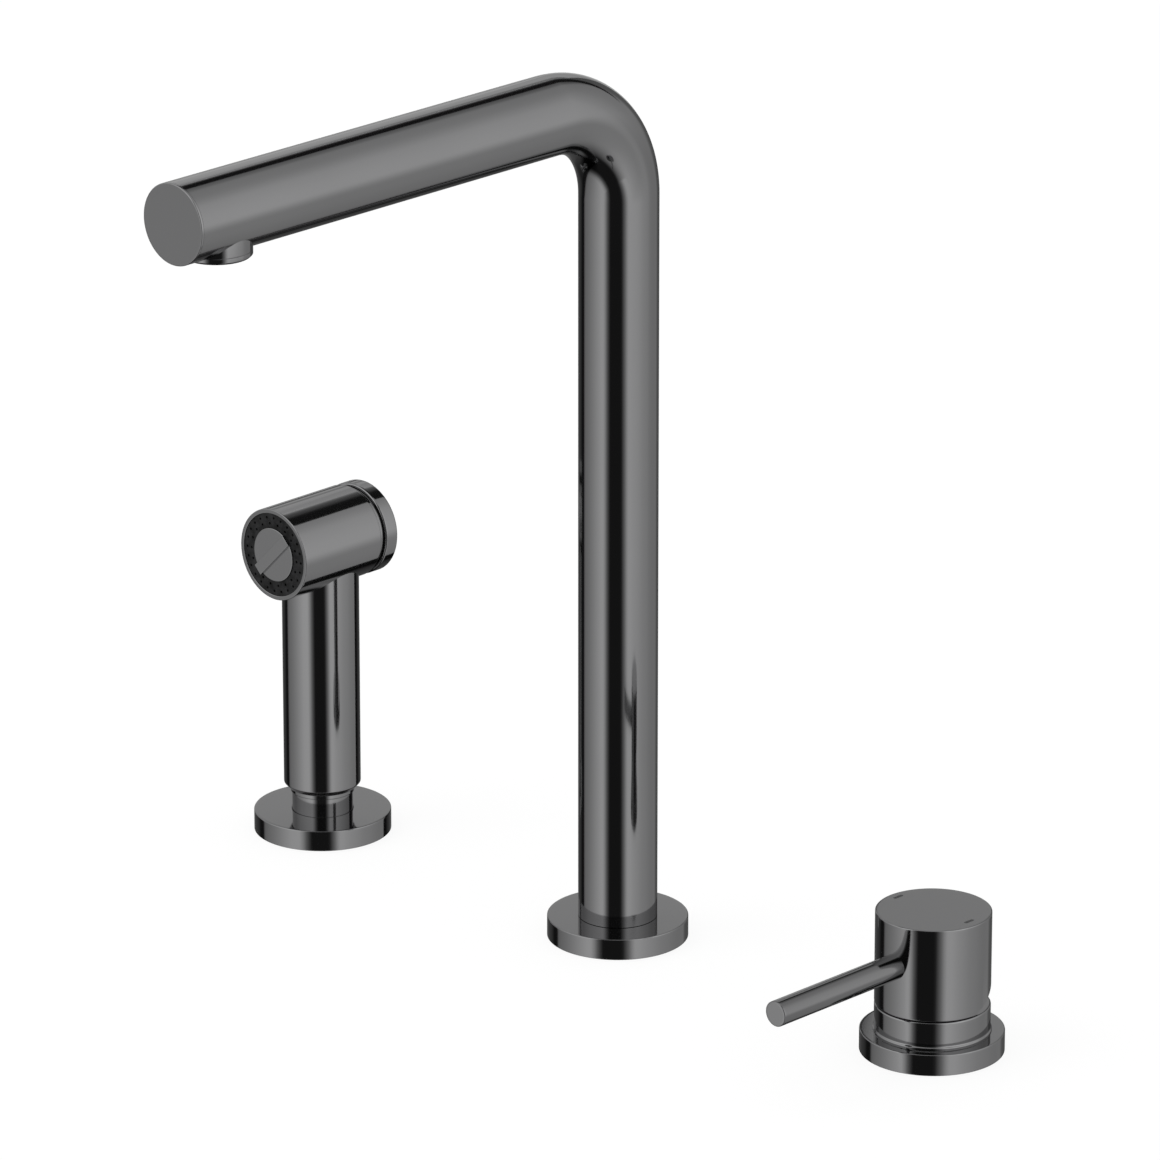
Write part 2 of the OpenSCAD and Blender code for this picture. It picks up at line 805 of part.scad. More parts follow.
module nozzle_pad() {
    color(rubber_tone) in_head() difference() {
        rod(pad_r - snug, pad_z, pad_top_z);
        rod(face_stud_r + snug, pad_z - cut_over, pad_top_z + cut_over);
        for (n = [0:len(nozzle_counts) - 1], k = [0:nozzle_counts[n] - 1])
            rotate([0, 0, 360 * k / nozzle_counts[n]]) translate([nozzle_ring_rs[n], 0, 0])
                rod(nozzle_r, pad_z - cut_over, pad_top_z + cut_over);
    }
}
module face_disc() {
    bar_len = 2 * disc_r * bar_share;
    color(gunmetal) in_head() {
        rod(disc_r, pad_top_z, disc_top_z);
        translate([0, 0, pad_top_z]) rotate([0, 0, bar_angle]) translate([-bar_len / 2, -bar_w / 2, 0])
            cube([bar_len, bar_w, disc_t + bar_t]);
        rod(face_stud_r, plug_z + stud_gap + touch_gap, disc_top_z);
    }
}

// Spray valve: stem, seals, spring and push button
module button_stem() {
    color(steel) in_head() {
        rod(stem_r, pocket_z, stem_front_z);
        rod(valve_disc_r, valve_disc_z, stem_front_z);
        rod(stem_tail_r, pocket_z - stem_tail_h, stem_front_z);
    }
}
module stem_oring() {
    color(rubber_tone) in_head() o_ring(stem_ring_r, stem_cord, stem_ring_z);
}
module valve_seal() {
    color(rubber_tone) in_head() ring(valve_seal_r, stem_r + snug, valve_seal_z, valve_disc_z);
}
module button_spring() {
    color(steel) in_head() coil_spring(button_coil_r, button_wire_r, stem_front_z + touch_gap,
        plug_z - touch_gap, button_turns);
}
module spray_button() {
    color(gunmetal) in_head() difference() {
        turned(head_r, button_z, button_front_z, button_edge, edge);
        rod(guide_boss_r + pocket_slack, pocket_z, button_front_z + cut_over);
        rod(stem_tail_r + snug, pocket_z - stem_tail_h, pocket_z + cut_over);
        translate([0, 0, button_z + dish_depth - dish_ball_r]) sphere(r = dish_ball_r);
    }
}

// Mixer unit, fixed pieces
module mixer_flange() {
    color(gunmetal) at_mixer() flange_ring(mixer_shank_r + run_fit);
}
module mixer_gasket() {
    color(rubber_tone) at_mixer() deck_gasket(mixer_shank_r);
}
module mixer_body() {
    color(gunmetal) at_mixer() difference() {
        union() {
            rod(mixer_shank_r, shank_end_z, flange_h + shadow_h);
            rod(mixer_r - shadow_inset, flange_h, body_top_z - edge);
            turned(mixer_r, flange_h + shadow_h, body_top_z, edge, edge);
            rod(body_neck_r, flange_h, body_neck_z);
        }
        rod(cartridge_bore_r, chamber_floor_z, body_neck_z + cut_over);
        at_ports() rod(port_r, shank_end_z - cut_over, port_top_z);
        at_feeds() rod(feed_hole_r, port_top_z - cut_over, chamber_floor_z + cut_over);
    }
}
module mixer_rubber_washer() {
    color(rubber_tone) at_mixer() deck_washer(mixer_shank_r, -deck_t, rubber_washer_t);
}
module mixer_steel_washer() {
    color(steel) at_mixer() deck_washer(mixer_shank_r, -deck_t - rubber_washer_t, steel_washer_t);
}
module mixer_nut() {
    color(brass) at_mixer() deck_nut(mixer_shank_r);
}

// Ceramic cartridge
module cartridge_seals() {
    color(rubber_tone) at_mixer() at_feeds()
        ring(feed_hole_r + seal_wall, feed_hole_r, chamber_floor_z, chamber_floor_z + seal_h);
}
module cartridge_base() {
    color(plastic_tone) at_mixer() difference() {
        rod(cartridge_r, chamber_floor_z, fixed_z);
        at_feeds() rod(feed_hole_r, chamber_floor_z - cut_over, fixed_z + cut_over);
        at_feeds() rod(feed_hole_r + seal_wall + snug, chamber_floor_z - cut_over,
            chamber_floor_z + seal_pocket);
    }
}
module fixed_disc() {
    color(ceramic_tone) at_mixer() difference() {
        rod(fixed_disc_r, fixed_z, fixed_z + ceramic_t);
        at_feeds() rod(feed_hole_r, fixed_z - cut_over, fixed_z + ceramic_t + cut_over);
    }
}
module moving_disc() {
    pocket_w = 2 * (ball_r + stem_play);
    pocket_l = 2 * (ball_r + ball_play);
    color(ceramic_tone) at_mixer() difference() {
        translate([0, moving_offset, 0]) rod(moving_r, moving_z, moving_z + moving_t);
        translate([0, moving_offset, 0]) rod(mix_r, moving_z - cut_over, moving_z + mix_depth);
        translate([-pocket_w / 2, -pocket_l / 2, moving_z + ball_floor_t])
            cube([pocket_w, pocket_l, moving_t]);
    }
}
module cartridge_housing() {
    color(plastic_tone) at_mixer() difference() {
        rod(cartridge_r, fixed_z, housing_top_z);
        rod(housing_bore_r, fixed_z - cut_over, housing_plate_z);
        rod(turret_neck_r + run_fit, housing_plate_z - cut_over, housing_top_z + cut_over);
    }
}
module cartridge_turret() {
    slot_w = stem_w + 2 * stem_play;
    color(plastic_tone) at_mixer() difference() {
        union() {
            rod(turret_r, turret_z, turret_top_z);
            rod(turret_neck_r, turret_z, neck_top_z);
        }
        translate([-slot_w / 2, -slot_half, turret_z - cut_over])
            cube([slot_w, 2 * slot_half, neck_top_z - turret_z + 2 * cut_over]);
        translate([0, 0, pivot_z]) rotate([0, 90, 0])
            rod(pin_r + snug, -turret_r - cut_over, turret_r + cut_over);
    }
}
module pivot_pin() {
    color(steel) at_mixer() translate([0, 0, pivot_z]) rotate([0, 90, 0])
        rod(pin_r, -turret_r + pin_slack, turret_r - pin_slack);
}
module retaining_nut() {
    bore = turret_neck_r + nut_bore_slack;
    color(brass) at_mixer() difference() {
        union() {
            rod(cartridge_bore_r - snug, housing_top_z, nut_top_z);
            rod(body_neck_r - nut_flange_inset, body_neck_z, nut_top_z);
        }
        rod(bore, housing_top_z - cut_over, nut_top_z + cut_over);
        for (a = [0:90:270]) rotate([0, 0, a])
            translate([cartridge_bore_r, -notch_w / 2, body_neck_z])
                cube([body_neck_r, notch_w, nut_flange_t + cut_over]);
    }
}

// Mixer unit, lever pieces
module lever_stem() {
    color(steel) at_mixer() difference() {
        union() {
            translate([0, 0, ball_z]) sphere(r = ball_r);
            rod(stem_rod_r, ball_z, bar_z);
            translate([-stem_w / 2, -stem_w / 2, bar_z])
                cube([stem_w, stem_w, block_top_z - touch_gap - bar_z]);
            translate([-block_w / 2, -block_w / 2, block_z])
                cube([block_w, block_w, block_top_z - touch_gap - block_z]);
        }
        translate([0, 0, pivot_z]) rotate([0, 90, 0])
            rod(pin_r + run_fit, -stem_w, stem_w);
    }
}
module handle_cap() {
    socket_w = block_w + 2 * snug;
    color(gunmetal) at_mixer() difference() {
        union() {
            difference() {
                turned(mixer_r, cap_z, cap_top_z, edge, edge);
                rod(cap_bore_r, cap_z - cut_over, cap_ceiling_z);
            }
            point_front(lever_z) rod(lever_boss_r, lever_boss_y, cap_bore_r + cut_over);
        }
        translate([-socket_w / 2, -socket_w / 2, cap_ceiling_z - cut_over])
            cube([socket_w, socket_w, block_top_z - cap_ceiling_z + cut_over]);
        translate([-mixer_r - cut_over, 0, cap_z]) rotate([relief_slope, 0, 0])
            translate([0, 0, -mixer_d]) cube([mixer_d + 2 * cut_over, mixer_d, mixer_d]);
        point_front(lever_z) {
            rod(lever_r + snug, lever_seat_y, mixer_r + cut_over);
            rod(stud_r + snug, lever_boss_y - cut_over, mixer_r);
        }
        point_back(cap_grub_z) rod(cap_grub_r + snug, 0, mixer_r + cut_over);
    }
}
module lever_rod() {
    color(gunmetal) at_mixer() point_front(lever_z) {
        turned(lever_r, lever_seat_y + snug, lever_reach, 0, edge);
        rod(stud_r, lever_boss_y + snug, mixer_r);
    }
}
module cap_grub_screw() {
    tip = block_w / 2 + snug;
    color(steel) at_mixer() point_back(cap_grub_z) difference() {
        rod(cap_grub_r, tip, tip + cap_grub_len);
        hex_bar(cap_key_flats, tip + cap_grub_len / 2, tip + cap_grub_len + cut_over);
    }
}

spout_flange();
spout_gasket();
spout_post();
slip_ring();
post_bushes();
post_orings();
spout_rubber_washer();
spout_steel_washer();
spout_nut();
diverter_tee();
diverter_spool();
diverter_cup();
diverter_spring();
spout_tube();
spout_end_cap();
spout_grub_screw();
outlet_socket();
aerator_shell();
aerator_insert();
aerator_screen();
aerator_seal();
holder_flange();
holder_gasket();
holder_shank();
dock_liner();
holder_rubber_washer();
holder_steel_washer();
holder_nut();
spray_neck();
neck_oring();
neck_clip();
spray_handle();
spray_head();
spray_valve_body();
valve_plug();
nozzle_pad();
face_disc();
button_stem();
stem_oring();
valve_seal();
button_spring();
spray_button();
mixer_flange();
mixer_gasket();
mixer_body();
mixer_rubber_washer();
mixer_steel_washer();
mixer_nut();
cartridge_seals();
cartridge_base();
fixed_disc();
moving_disc();
cartridge_housing();
cartridge_turret();
pivot_pin();
lever_stem();
retaining_nut();
handle_cap();
lever_rod();
cap_grub_screw();
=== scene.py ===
# %% [markdown]
# A kitchen faucet in three units on one deck: a pull-out side spray, a tall swivel spout and a
# single-lever mixer. What shows of it is mostly metal, turned on a lathe or bent from tube, polished and
# then plated in a dark gunmetal tone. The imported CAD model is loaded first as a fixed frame. Pieces that
# show are then built again with smooth, rounded edges, because a polished surface shows each small facet.
# Pieces that stay hidden keep their CAD shape and get a real finish.

# %% Load the frame
import json
import math

import bmesh
import bpy
from mathutils import Matrix, Vector


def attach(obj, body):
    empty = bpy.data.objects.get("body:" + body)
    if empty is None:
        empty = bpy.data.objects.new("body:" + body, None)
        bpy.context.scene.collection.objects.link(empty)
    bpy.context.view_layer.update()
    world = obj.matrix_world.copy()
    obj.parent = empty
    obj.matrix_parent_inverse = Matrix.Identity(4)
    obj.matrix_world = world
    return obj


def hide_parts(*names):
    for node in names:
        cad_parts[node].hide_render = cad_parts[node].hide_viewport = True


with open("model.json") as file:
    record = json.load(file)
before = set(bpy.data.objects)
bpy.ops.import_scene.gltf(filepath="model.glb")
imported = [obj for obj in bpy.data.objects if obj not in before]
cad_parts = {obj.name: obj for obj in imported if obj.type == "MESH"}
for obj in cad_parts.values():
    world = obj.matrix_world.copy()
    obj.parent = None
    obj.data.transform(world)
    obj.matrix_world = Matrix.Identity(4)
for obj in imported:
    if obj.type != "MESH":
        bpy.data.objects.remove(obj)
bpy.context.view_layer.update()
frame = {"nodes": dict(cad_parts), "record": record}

scene = bpy.context.scene

# %% [markdown]
# The photograph looks down at the faucet from the front right, from far away, so that the three units
# look nearly as large as each other. A long lens from three metres does the same here. The camera has no
# shift and no blur, and it is aimed at a point between the units.

# %% Place the camera
CAMERA_AZIMUTH = math.radians(44.385)
CAMERA_ELEVATION = math.radians(19.598)
CAMERA_DISTANCE = 3.1148
AIM_RIGHT, AIM_UP = -0.01333, 0.12515  # metres from the spout's foot, in the picture's own directions
LENS, SENSOR = 273.14, 36  # millimetres
FAR_CLIP = 50
UP = Vector((0, 0, 1))

toward_camera = Vector((math.sin(CAMERA_AZIMUTH), -math.cos(CAMERA_AZIMUTH), 0))
camera_right = Vector((math.cos(CAMERA_AZIMUTH), math.sin(CAMERA_AZIMUTH), 0))
backward = toward_camera * math.cos(CAMERA_ELEVATION) + UP * math.sin(CAMERA_ELEVATION)
camera_up = backward.cross(camera_right)
aim = camera_right * AIM_RIGHT + camera_up * AIM_UP

camera_data = bpy.data.cameras.new("product_camera")
camera_data.lens = LENS
camera_data.sensor_width = SENSOR
camera_data.clip_end = FAR_CLIP
camera = bpy.data.objects.new("product_camera", camera_data)
scene.collection.objects.link(camera)
camera.matrix_world = Matrix.Translation(aim + backward * CAMERA_DISTANCE) @ Matrix(
    (camera_right, camera_up, backward)).transposed().to_4x4()
scene.camera = camera
scene.view_settings.view_transform = "Standard"
print("camera at", [round(c, 3) for c in camera.matrix_world.translation])

# %% [markdown]
# A shader is a small graph. These helpers keep each one short: one adds a node with its settings, one
# sets a socket or joins it to another node, and the others make the few steps that come back all the
# time: arithmetic, a dot product, a soft step, a mix of two levels, and a ramp of places and levels.

# %% Node helpers
def add_node(tree, kind, **settings):
    made = tree.nodes.new(kind)
    for key, value in settings.items():
        setattr(made, key, value)
    return made


def feed(tree, socket, source):
    if isinstance(source, bpy.types.NodeSocket):
        tree.links.new(source, socket)
    else:
        socket.default_value = source


def feed_all(tree, node, **sources):
    """Feed sockets by name, with _ for each space in a name."""
    for name, source in sources.items():
        feed(tree, node.inputs[name.replace("_", " ")], source)


def math_node(tree, operation, *sources):
    made = add_node(tree, "ShaderNodeMath", operation=operation)
    for socket, source in zip(made.inputs, sources):
        feed(tree, socket, source)
    return made.outputs[0]


def dot_with(tree, place, axis):
    made = add_node(tree, "ShaderNodeVectorMath", operation="DOT_PRODUCT")
    feed(tree, made.inputs[0], place)
    feed(tree, made.inputs[1], axis)
    return made.outputs["Value"]


def soft_step(tree, source, start, end, low=0.0, high=1.0):
    """Pass smoothly from low to high while the source goes from start to end."""
    made = add_node(tree, "ShaderNodeMapRange", interpolation_type="SMOOTHSTEP")
    feed_all(tree, made, Value=source, From_Min=start, From_Max=end, To_Min=low, To_Max=high)
    return made.outputs["Result"]


def mix_levels(tree, factor, first, second):
    """The first level where the factor is 0, the second where it is 1."""
    made = add_node(tree, "ShaderNodeMix", data_type="FLOAT")
    feed_all(tree, made, Factor=factor, A=first, B=second)
    return made.outputs["Result"]


def level_ramp(tree, factor, stops):
    made = add_node(tree, "ShaderNodeValToRGB")
    elements = made.color_ramp.elements
    for position, level in stops[1:-1]:
        elements.new(position).color = (level, level, level, 1)
    for element, (position, level) in ((elements[0], stops[0]), (elements[-1], stops[-1])):
        element.position = position
        element.color = (level, level, level, 1)
    feed(tree, made.inputs[0], factor)
    return made.outputs[0]


print("node helpers ready")

# %% [markdown]
# Light levels are easier to judge as tones of the finished picture, from 0 to 255. The metal reflects
# about a quarter of the light, so a wall has to be four times as bright as the tone that it leaves.

# %% Tones
GUNMETAL_REFLECTANCE = 0.256
WHITE_TONE = 137


def tone(value):
    """The light level that shows in the metal as that tone of the picture, by the sRGB curve."""
    linear = ((value / 255 + 0.055) / 1.055) ** 2.4
    return linear / GUNMETAL_REFLECTANCE


print("a white wall shows in the metal at tone", WHITE_TONE, "and has level", round(tone(WHITE_TONE), 3))

# %% [markdown]
# Polished metal has almost no look of its own: it shows the studio. The studio is a white tent with
# bright walls at the front, grey ones at the sides and dark edges at the back. It could be built from
# panels, but a world shader does it with less noise. The direction of a reflected ray is turned into an
# angle round the set, from 0 toward the camera to 180 at the back and positive at the right. One ramp
# holds the tones that rays going down find at each angle, and one those that rays going up find.

# %% Studio walls
def round_the_set(degrees):
    return (degrees + 180) / 360


LOW_WALLS = [(-180, 58), (-162, 50), (-150, 40), (-140, 38), (-133, 30), (-128, 14), (-117, 14),
    (-113.5, 80), (-110, 87), (-104, 94), (-92, 103), (-80, 113), (-62, 129), (-52, 137), (37, 135),
    (53, 125), (74, 114), (91, 109), (97, 107), (110, 101), (123, 96), (129, 94), (135, 90), (140, 68),
    (148, 54), (157, 50), (168, 55), (180, 58)]
HIGH_WALLS = [(-180, 122), (-172, 116), (-150, 100), (-120, 110), (-90, 140), (-60, 156), (-52, 158),
    (37, 158), (60, 156), (80, 142), (91, 133), (98, 129), (104, 122), (112, 116), (120, 110), (129, 105),
    (143, 98), (147, 78), (150, 67), (155, 61), (163, 57), (168, 63), (172, 79), (174.5, 98), (177, 120),
    (180, 122)]

world = bpy.data.worlds.new("studio")
scene.world = world
world.use_nodes = True
tree = world.node_tree
tree.nodes.clear()
direction = add_node(tree, "ShaderNodeTexCoord").outputs["Generated"]
rise = dot_with(tree, direction, UP)
rightward = dot_with(tree, direction, camera_right)
frontward = dot_with(tree, direction, toward_camera)
angle = math_node(tree, "ARCTAN2", rightward, frontward)
turn = math_node(tree, "ADD", math_node(tree, "DIVIDE", angle, 2 * math.pi), 0.5)
low = level_ramp(tree, turn, [(round_the_set(a), tone(t)) for a, t in LOW_WALLS])
high = level_ramp(tree, turn, [(round_the_set(a), tone(t)) for a, t in HIGH_WALLS])
print("studio walls:", len(LOW_WALLS), "low and", len(HIGH_WALLS), "high levels")

# %% [markdown]
# The low walls pass softly into the high ones a little below the horizon. At the front right that edge
# lies lower, which keeps the right flank of the spout's bend light. All places are sines of angles over
# the horizon or shares of a direction, because those come straight from dot products.

# %% Edge between the low and the high walls
def sine(degrees):
    return math.sin(math.radians(degrees))


EDGE_START, EDGE_END = sine(-15), sine(6)
EDGE_DROP = 0.15
RIGHT_START, RIGHT_END = 0.3, 0.8
FRONT_START, FRONT_END = -0.3, 0.0

front_right = math_node(tree, "MULTIPLY", soft_step(tree, rightward, RIGHT_START, RIGHT_END),
    soft_step(tree, frontward, FRONT_START, FRONT_END))
raised = math_node(tree, "MULTIPLY_ADD", front_right, EDGE_DROP, rise)
walls = mix_levels(tree, soft_step(tree, raised, EDGE_START, EDGE_END), low, high)
print("the walls change between", round(EDGE_START, 2), "and", round(EDGE_END, 2))

# %% [markdown]
# The tent's roof is an even grey. Straight below, a dark strip runs from the front to the back, which
# blackens the inside of the spout's bend. Its tones are given by the share of the direction that points
# to the right. Far back the strip gives way to a plain half level.

# %% Roof and dark strip
ROOF_START, ROOF_END, ROOF_TONE = sine(38), sine(62), 110
DEEP, SHALLOW = sine(-37), sine(-26)
STRIP_BACK, STRIP_FRONT, BACK_LEVEL = -0.62, -0.42, 0.5
FLOOR_STRIP = [(-1, 137), (-0.55, 137), (-0.47, 115), (-0.417, 79), (-0.36, 48), (-0.31, 18), (0.09, 18),
    (0.13, 31), (0.19, 67), (0.24, 84), (0.30, 100), (0.36, 112), (0.42, 122), (0.50, 132), (0.58, 137),
    (1, 137)]

roofed = mix_levels(tree, soft_step(tree, rise, ROOF_START, ROOF_END), walls, tone(ROOF_TONE))
sideways = math_node(tree, "MULTIPLY_ADD", rightward, 0.5, 0.5)
strip = level_ramp(tree, sideways, [((side + 1) / 2, tone(t) / tone(WHITE_TONE)) for side, t in FLOOR_STRIP])
below = mix_levels(tree, soft_step(tree, frontward, STRIP_BACK, STRIP_FRONT), BACK_LEVEL, strip)
ground = mix_levels(tree, soft_step(tree, rise, DEEP, SHALLOW), below, 1.0)
studio_level = math_node(tree, "MULTIPLY", roofed, ground)
print("dark strip below:", len(FLOOR_STRIP), "levels")

# %% [markdown]
# Only glossy rays see all this. The camera sees plain white, and matt parts are lit by an even soft
# level a little under it.

# %% What each kind of ray sees
SOFT_LEVEL = 0.88
path = add_node(tree, "ShaderNodeLightPath")
matt_level = math_node(tree, "MULTIPLY_ADD", path.outputs["Is Camera Ray"], 1 - SOFT_LEVEL, SOFT_LEVEL)
background = add_node(tree, "ShaderNodeBackground")
feed_all(tree, background, Color=(1, 1, 1, 1),
    Strength=mix_levels(tree, path.outputs["Is Glossy Ray"], matt_level, studio_level))
output = add_node(tree, "ShaderNodeOutputWorld")
feed(tree, output.inputs["Surface"], background.outputs[0])
print("soft level for matt parts:", SOFT_LEVEL)

# %% [markdown]
# A soft lamp from the upper left gives the matt parts and the floor a gentle direction. It isn't shown
# in the metal, which has the walls for that.

# %% Soft key lamp
LAMP_PLACE, LAMP_TARGET = Vector((-0.9, -1.3, 1.9)), Vector((0, 0, 0.1))
LAMP_SIZE, LAMP_WATTS = 1.6, 9

lamp_data = bpy.data.lights.new("soft_key", "AREA")
lamp_data.shape = "DISK"
lamp_data.size = LAMP_SIZE
lamp_data.energy = LAMP_WATTS
lamp = bpy.data.objects.new("soft_key", lamp_data)
scene.collection.objects.link(lamp)
lamp.location = LAMP_PLACE
lamp.rotation_euler = (LAMP_TARGET - LAMP_PLACE).to_track_quat("-Z", "Y").to_euler()
lamp.visible_glossy = False
print("key lamp at", tuple(round(c, 2) for c in lamp.location))

# %% [markdown]
# Every mesh here is drawn with bmesh and becomes an object at the origin, so its place is in its mesh.
# Every material starts empty and ends in one output.

# %% Object and material helpers
def mesh_object(bm, name):
    data = bpy.data.meshes.new(name)
    bm.to_mesh(data)
    bm.free()
    made = bpy.data.objects.new(name, data)
    scene.collection.objects.link(made)
    return made


def plain_material(name):
    made = bpy.data.materials.new(name)
    made.use_nodes = True
    made.node_tree.nodes.clear()
    return made, made.node_tree


def show(tree, surface):
    feed(tree, add_node(tree, "ShaderNodeOutputMaterial").inputs["Surface"], surface)


print("object and material helpers ready")

# %% [markdown]
# The floor is a pale sheet at deck level. In the photograph it is pure white, so its own white is mostly
# given by a light level that only the camera sees, and a small share of real shading is left in it. That
# share carries the soft shadow at the foot of each unit.

# %% Floor
FLOOR_HALF = 6.0
FLOOR_DROP = 0.00005  # metres, so that the floor and the gaskets' undersides don't share a plane
FLOOR_GREY, FLOOR_GLOW = 0.96, 1.03
SHADOW_SHARE = 0.16

bm = bmesh.new()
bmesh.ops.create_grid(bm, x_segments=4, y_segments=4, size=FLOOR_HALF)
bmesh.ops.translate(bm, verts=bm.verts, vec=UP * -FLOOR_DROP)
floor = mesh_object(bm, "floor")
floor.visible_glossy = False
floor_material, tree = plain_material("pale_floor")
matt = add_node(tree, "ShaderNodeBsdfDiffuse")
feed(tree, matt.inputs["Color"], (FLOOR_GREY, FLOOR_GREY, FLOOR_GREY, 1))
white = add_node(tree, "ShaderNodeEmission")
feed_all(tree, white, Color=(1, 1, 1, 1), Strength=FLOOR_GLOW)
path = add_node(tree, "ShaderNodeLightPath")
both = add_node(tree, "ShaderNodeMixShader")
feed(tree, both.inputs[0], math_node(tree, "MULTIPLY", path.outputs["Is Camera Ray"], 1 - SHADOW_SHARE))
feed(tree, both.inputs[1], matt.outputs[0])
feed(tree, both.inputs[2], white.outputs[0])
show(tree, both.outputs[0])
floor.data.materials.append(floor_material)
print("floor", FLOOR_HALF * 2, "m wide")

# %% [markdown]
# A photographer puts cards close to a shiny product to give it dark edges. Because a card is near, each
# unit sees it in another direction, which distant walls can't do. A card here is one glowing face with a
# ramp of levels along it. Only reflections see it.

# %% Card helper
def card(name, corner, side, up, stops, rising=False, gain=None):
    """A glowing card. Stops are places from 0 to 1 with tones, along its side or, if rising, up it.
    Gain is two heights and a factor: above the second height the card is that much brighter."""
    bm = bmesh.new()
    edge = bm.edges.new([bm.verts.new(corner), bm.verts.new(corner + side)])
    top = bmesh.ops.extrude_edge_only(bm, edges=[edge])
    lifted = [v for v in top["geom"] if isinstance(v, bmesh.types.BMVert)]
    bmesh.ops.translate(bm, verts=lifted, vec=up)
    made = mesh_object(bm, name)
    made.visible_camera = False
    made.visible_diffuse = False
    made.visible_transmission = False
    made.visible_shadow = False
    material, tree = plain_material(name)
    span = up if rising else side
    place = add_node(tree, "ShaderNodeTexCoord").outputs["Object"]
    along_it = math_node(tree, "SUBTRACT", dot_with(tree, place, span / span.length_squared),
        span.dot(corner) / span.length_squared)
    glow = add_node(tree, "ShaderNodeEmission")
    feed(tree, glow.inputs["Color"], level_ramp(tree, along_it, [(at, tone(t)) for at, t in stops]))
    if gain:
        start, end, factor = gain
        height = add_node(tree, "ShaderNodeSeparateXYZ")
        feed(tree, height.inputs[0], place)
        feed(tree, glow.inputs["Strength"], soft_step(tree, height.outputs["Z"], start, end, 1.0, factor))
    show(tree, glow.outputs[0])
    made.data.materials.append(material)


print("card helper ready")

# %% [markdown]
# The front card has a black middle that fades to white at both sides. Its levels are given as angles
# round the spout. Up-going reflections meet it higher than down-going ones do, and it is brighter there,
# which lights up the places where one polished piece mirrors another.

# %% Front card
FRONT_DISTANCE, FRONT_FOOT, FRONT_HEIGHT = 0.98, -0.62, 2.1
FRONT_GAIN = (0.06, 0.14, 1.4)
FRONT_LEVELS = [(-52, 138), (-44, 138), (-38, 115), (-33, 79), (-28, 48), (-24, 18), (5, 18), (9, 29),
    (14, 68), (18, 90), (23, 120), (28, 137), (37, 136)]


def on_front_card(degrees):
    """How far along the front card, in metres from its middle, the spout sees that angle."""
    return FRONT_DISTANCE * math.tan(math.radians(degrees))


left, right = on_front_card(FRONT_LEVELS[0][0]), on_front_card(FRONT_LEVELS[-1][0])
card("front_card", toward_camera * FRONT_DISTANCE + camera_right * left + UP * FRONT_FOOT,
    camera_right * (right - left), UP * FRONT_HEIGHT,
    [((on_front_card(a) - left) / (right - left), t) for a, t in FRONT_LEVELS], gain=FRONT_GAIN)
print("front card", round(right - left, 2), "m wide at", FRONT_DISTANCE, "m")

# %% [markdown]
# Behind the spray a low dark card draws the line down the right of the handle. A long dark sheet hangs
# over the set, parallel to the arm and sloping up to the left. It is black at its near edge and pales
# upwards, so the arm gets a thin soft line and the head a broad band. A second sheet lies far below and
# draws the line along their undersides.

# %% Back card and two sheets
BACK_CORNER, BACK_SIDE, BACK_HEIGHT = Vector((-0.092, 0.202, -0.9)), Vector((-0.211, 0.268, 0)), 1.15
BACK_LEVELS = [(0, 8), (0.15, 8), (0.24, 24), (0.39, 34), (0.63, 38), (1, 40)]
card("back_card", BACK_CORNER, BACK_SIDE, UP * BACK_HEIGHT, BACK_LEVELS)

OVER_CORNER, OVER_SIDE = Vector((-0.0606, -0.1, 0.489)), Vector((0, 1.4, 0))
OVER_SLOPE, OVER_WIDTH = Vector((-0.7193, 0, 0.6948)), 1.3
OVER_LEVELS = [(0, 14), (0.17, 16), (0.21, 26), (0.28, 50), (0.45, 66), (0.62, 92), (0.76, 124),
    (0.86, 138), (1, 142)]
card("over_sheet", OVER_CORNER, OVER_SIDE, OVER_SLOPE * OVER_WIDTH, OVER_LEVELS, rising=True)

UNDER_CORNER, UNDER_SIDE = Vector((0.038, 0.44, -0.45)), Vector((0, 0.56, 0))
UNDER_SLOPE = Vector((-0.938, 0, 0))
UNDER_LEVELS = [(0, 10), (0.156, 12), (0.188, 38), (1, 44)]
card("under_sheet", UNDER_CORNER, UNDER_SIDE, UNDER_SLOPE, UNDER_LEVELS, rising=True)
print("one card behind, one sheet above and one below")

# %% [markdown]
# Two pale cards far behind give the flat tops and the upper rims their grey. Each unit's top mirrors
# another height of them, so their tones are given by height in metres. A card's name is followed by its
# left end, counted along the picture's right, and by its width.

# %% Rear cards
REAR_DISTANCE, REAR_FOOT, REAR_HEIGHT = 0.855, 0.12, 0.66
REAR_LEFT = [(0.12, 46), (0.20, 54), (0.24, 98), (0.27, 109), (0.30, 108), (0.34, 88), (0.375, 84),
    (0.405, 108), (0.44, 118), (0.58, 116), (0.71, 121), (0.78, 121)]
REAR_RIGHT = [(0.12, 104), (0.25, 109), (0.32, 111), (0.36, 103), (0.50, 101), (0.60, 112), (0.78, 120)]
REAR_CARDS = (("rear_left", -0.24, 0.185, REAR_LEFT), ("rear_right", -0.055, 0.27, REAR_RIGHT))

for name, start, width, levels in REAR_CARDS:
    card(name, camera_right * start - toward_camera * REAR_DISTANCE + UP * REAR_FOOT, camera_right * width,
        UP * REAR_HEIGHT, [((z - REAR_FOOT) / REAR_HEIGHT, t) for z, t in levels], rising=True)
print(len(REAR_CARDS), "rear cards at", REAR_DISTANCE, "m")

# %% [markdown]
# The finishes come next. Each one is a Principled shader with its plain values set on its own sockets,
# and noise in object space for what varies. Object space is the frame's own space here, because every
# piece has its place in its mesh, so one setting gives the same grain on every piece.

# %% Finish helpers
MIX_FIRST, MIX_SECOND, MIX_RESULT = 6, 7, 2  # the mix node's colour sockets share their names with others


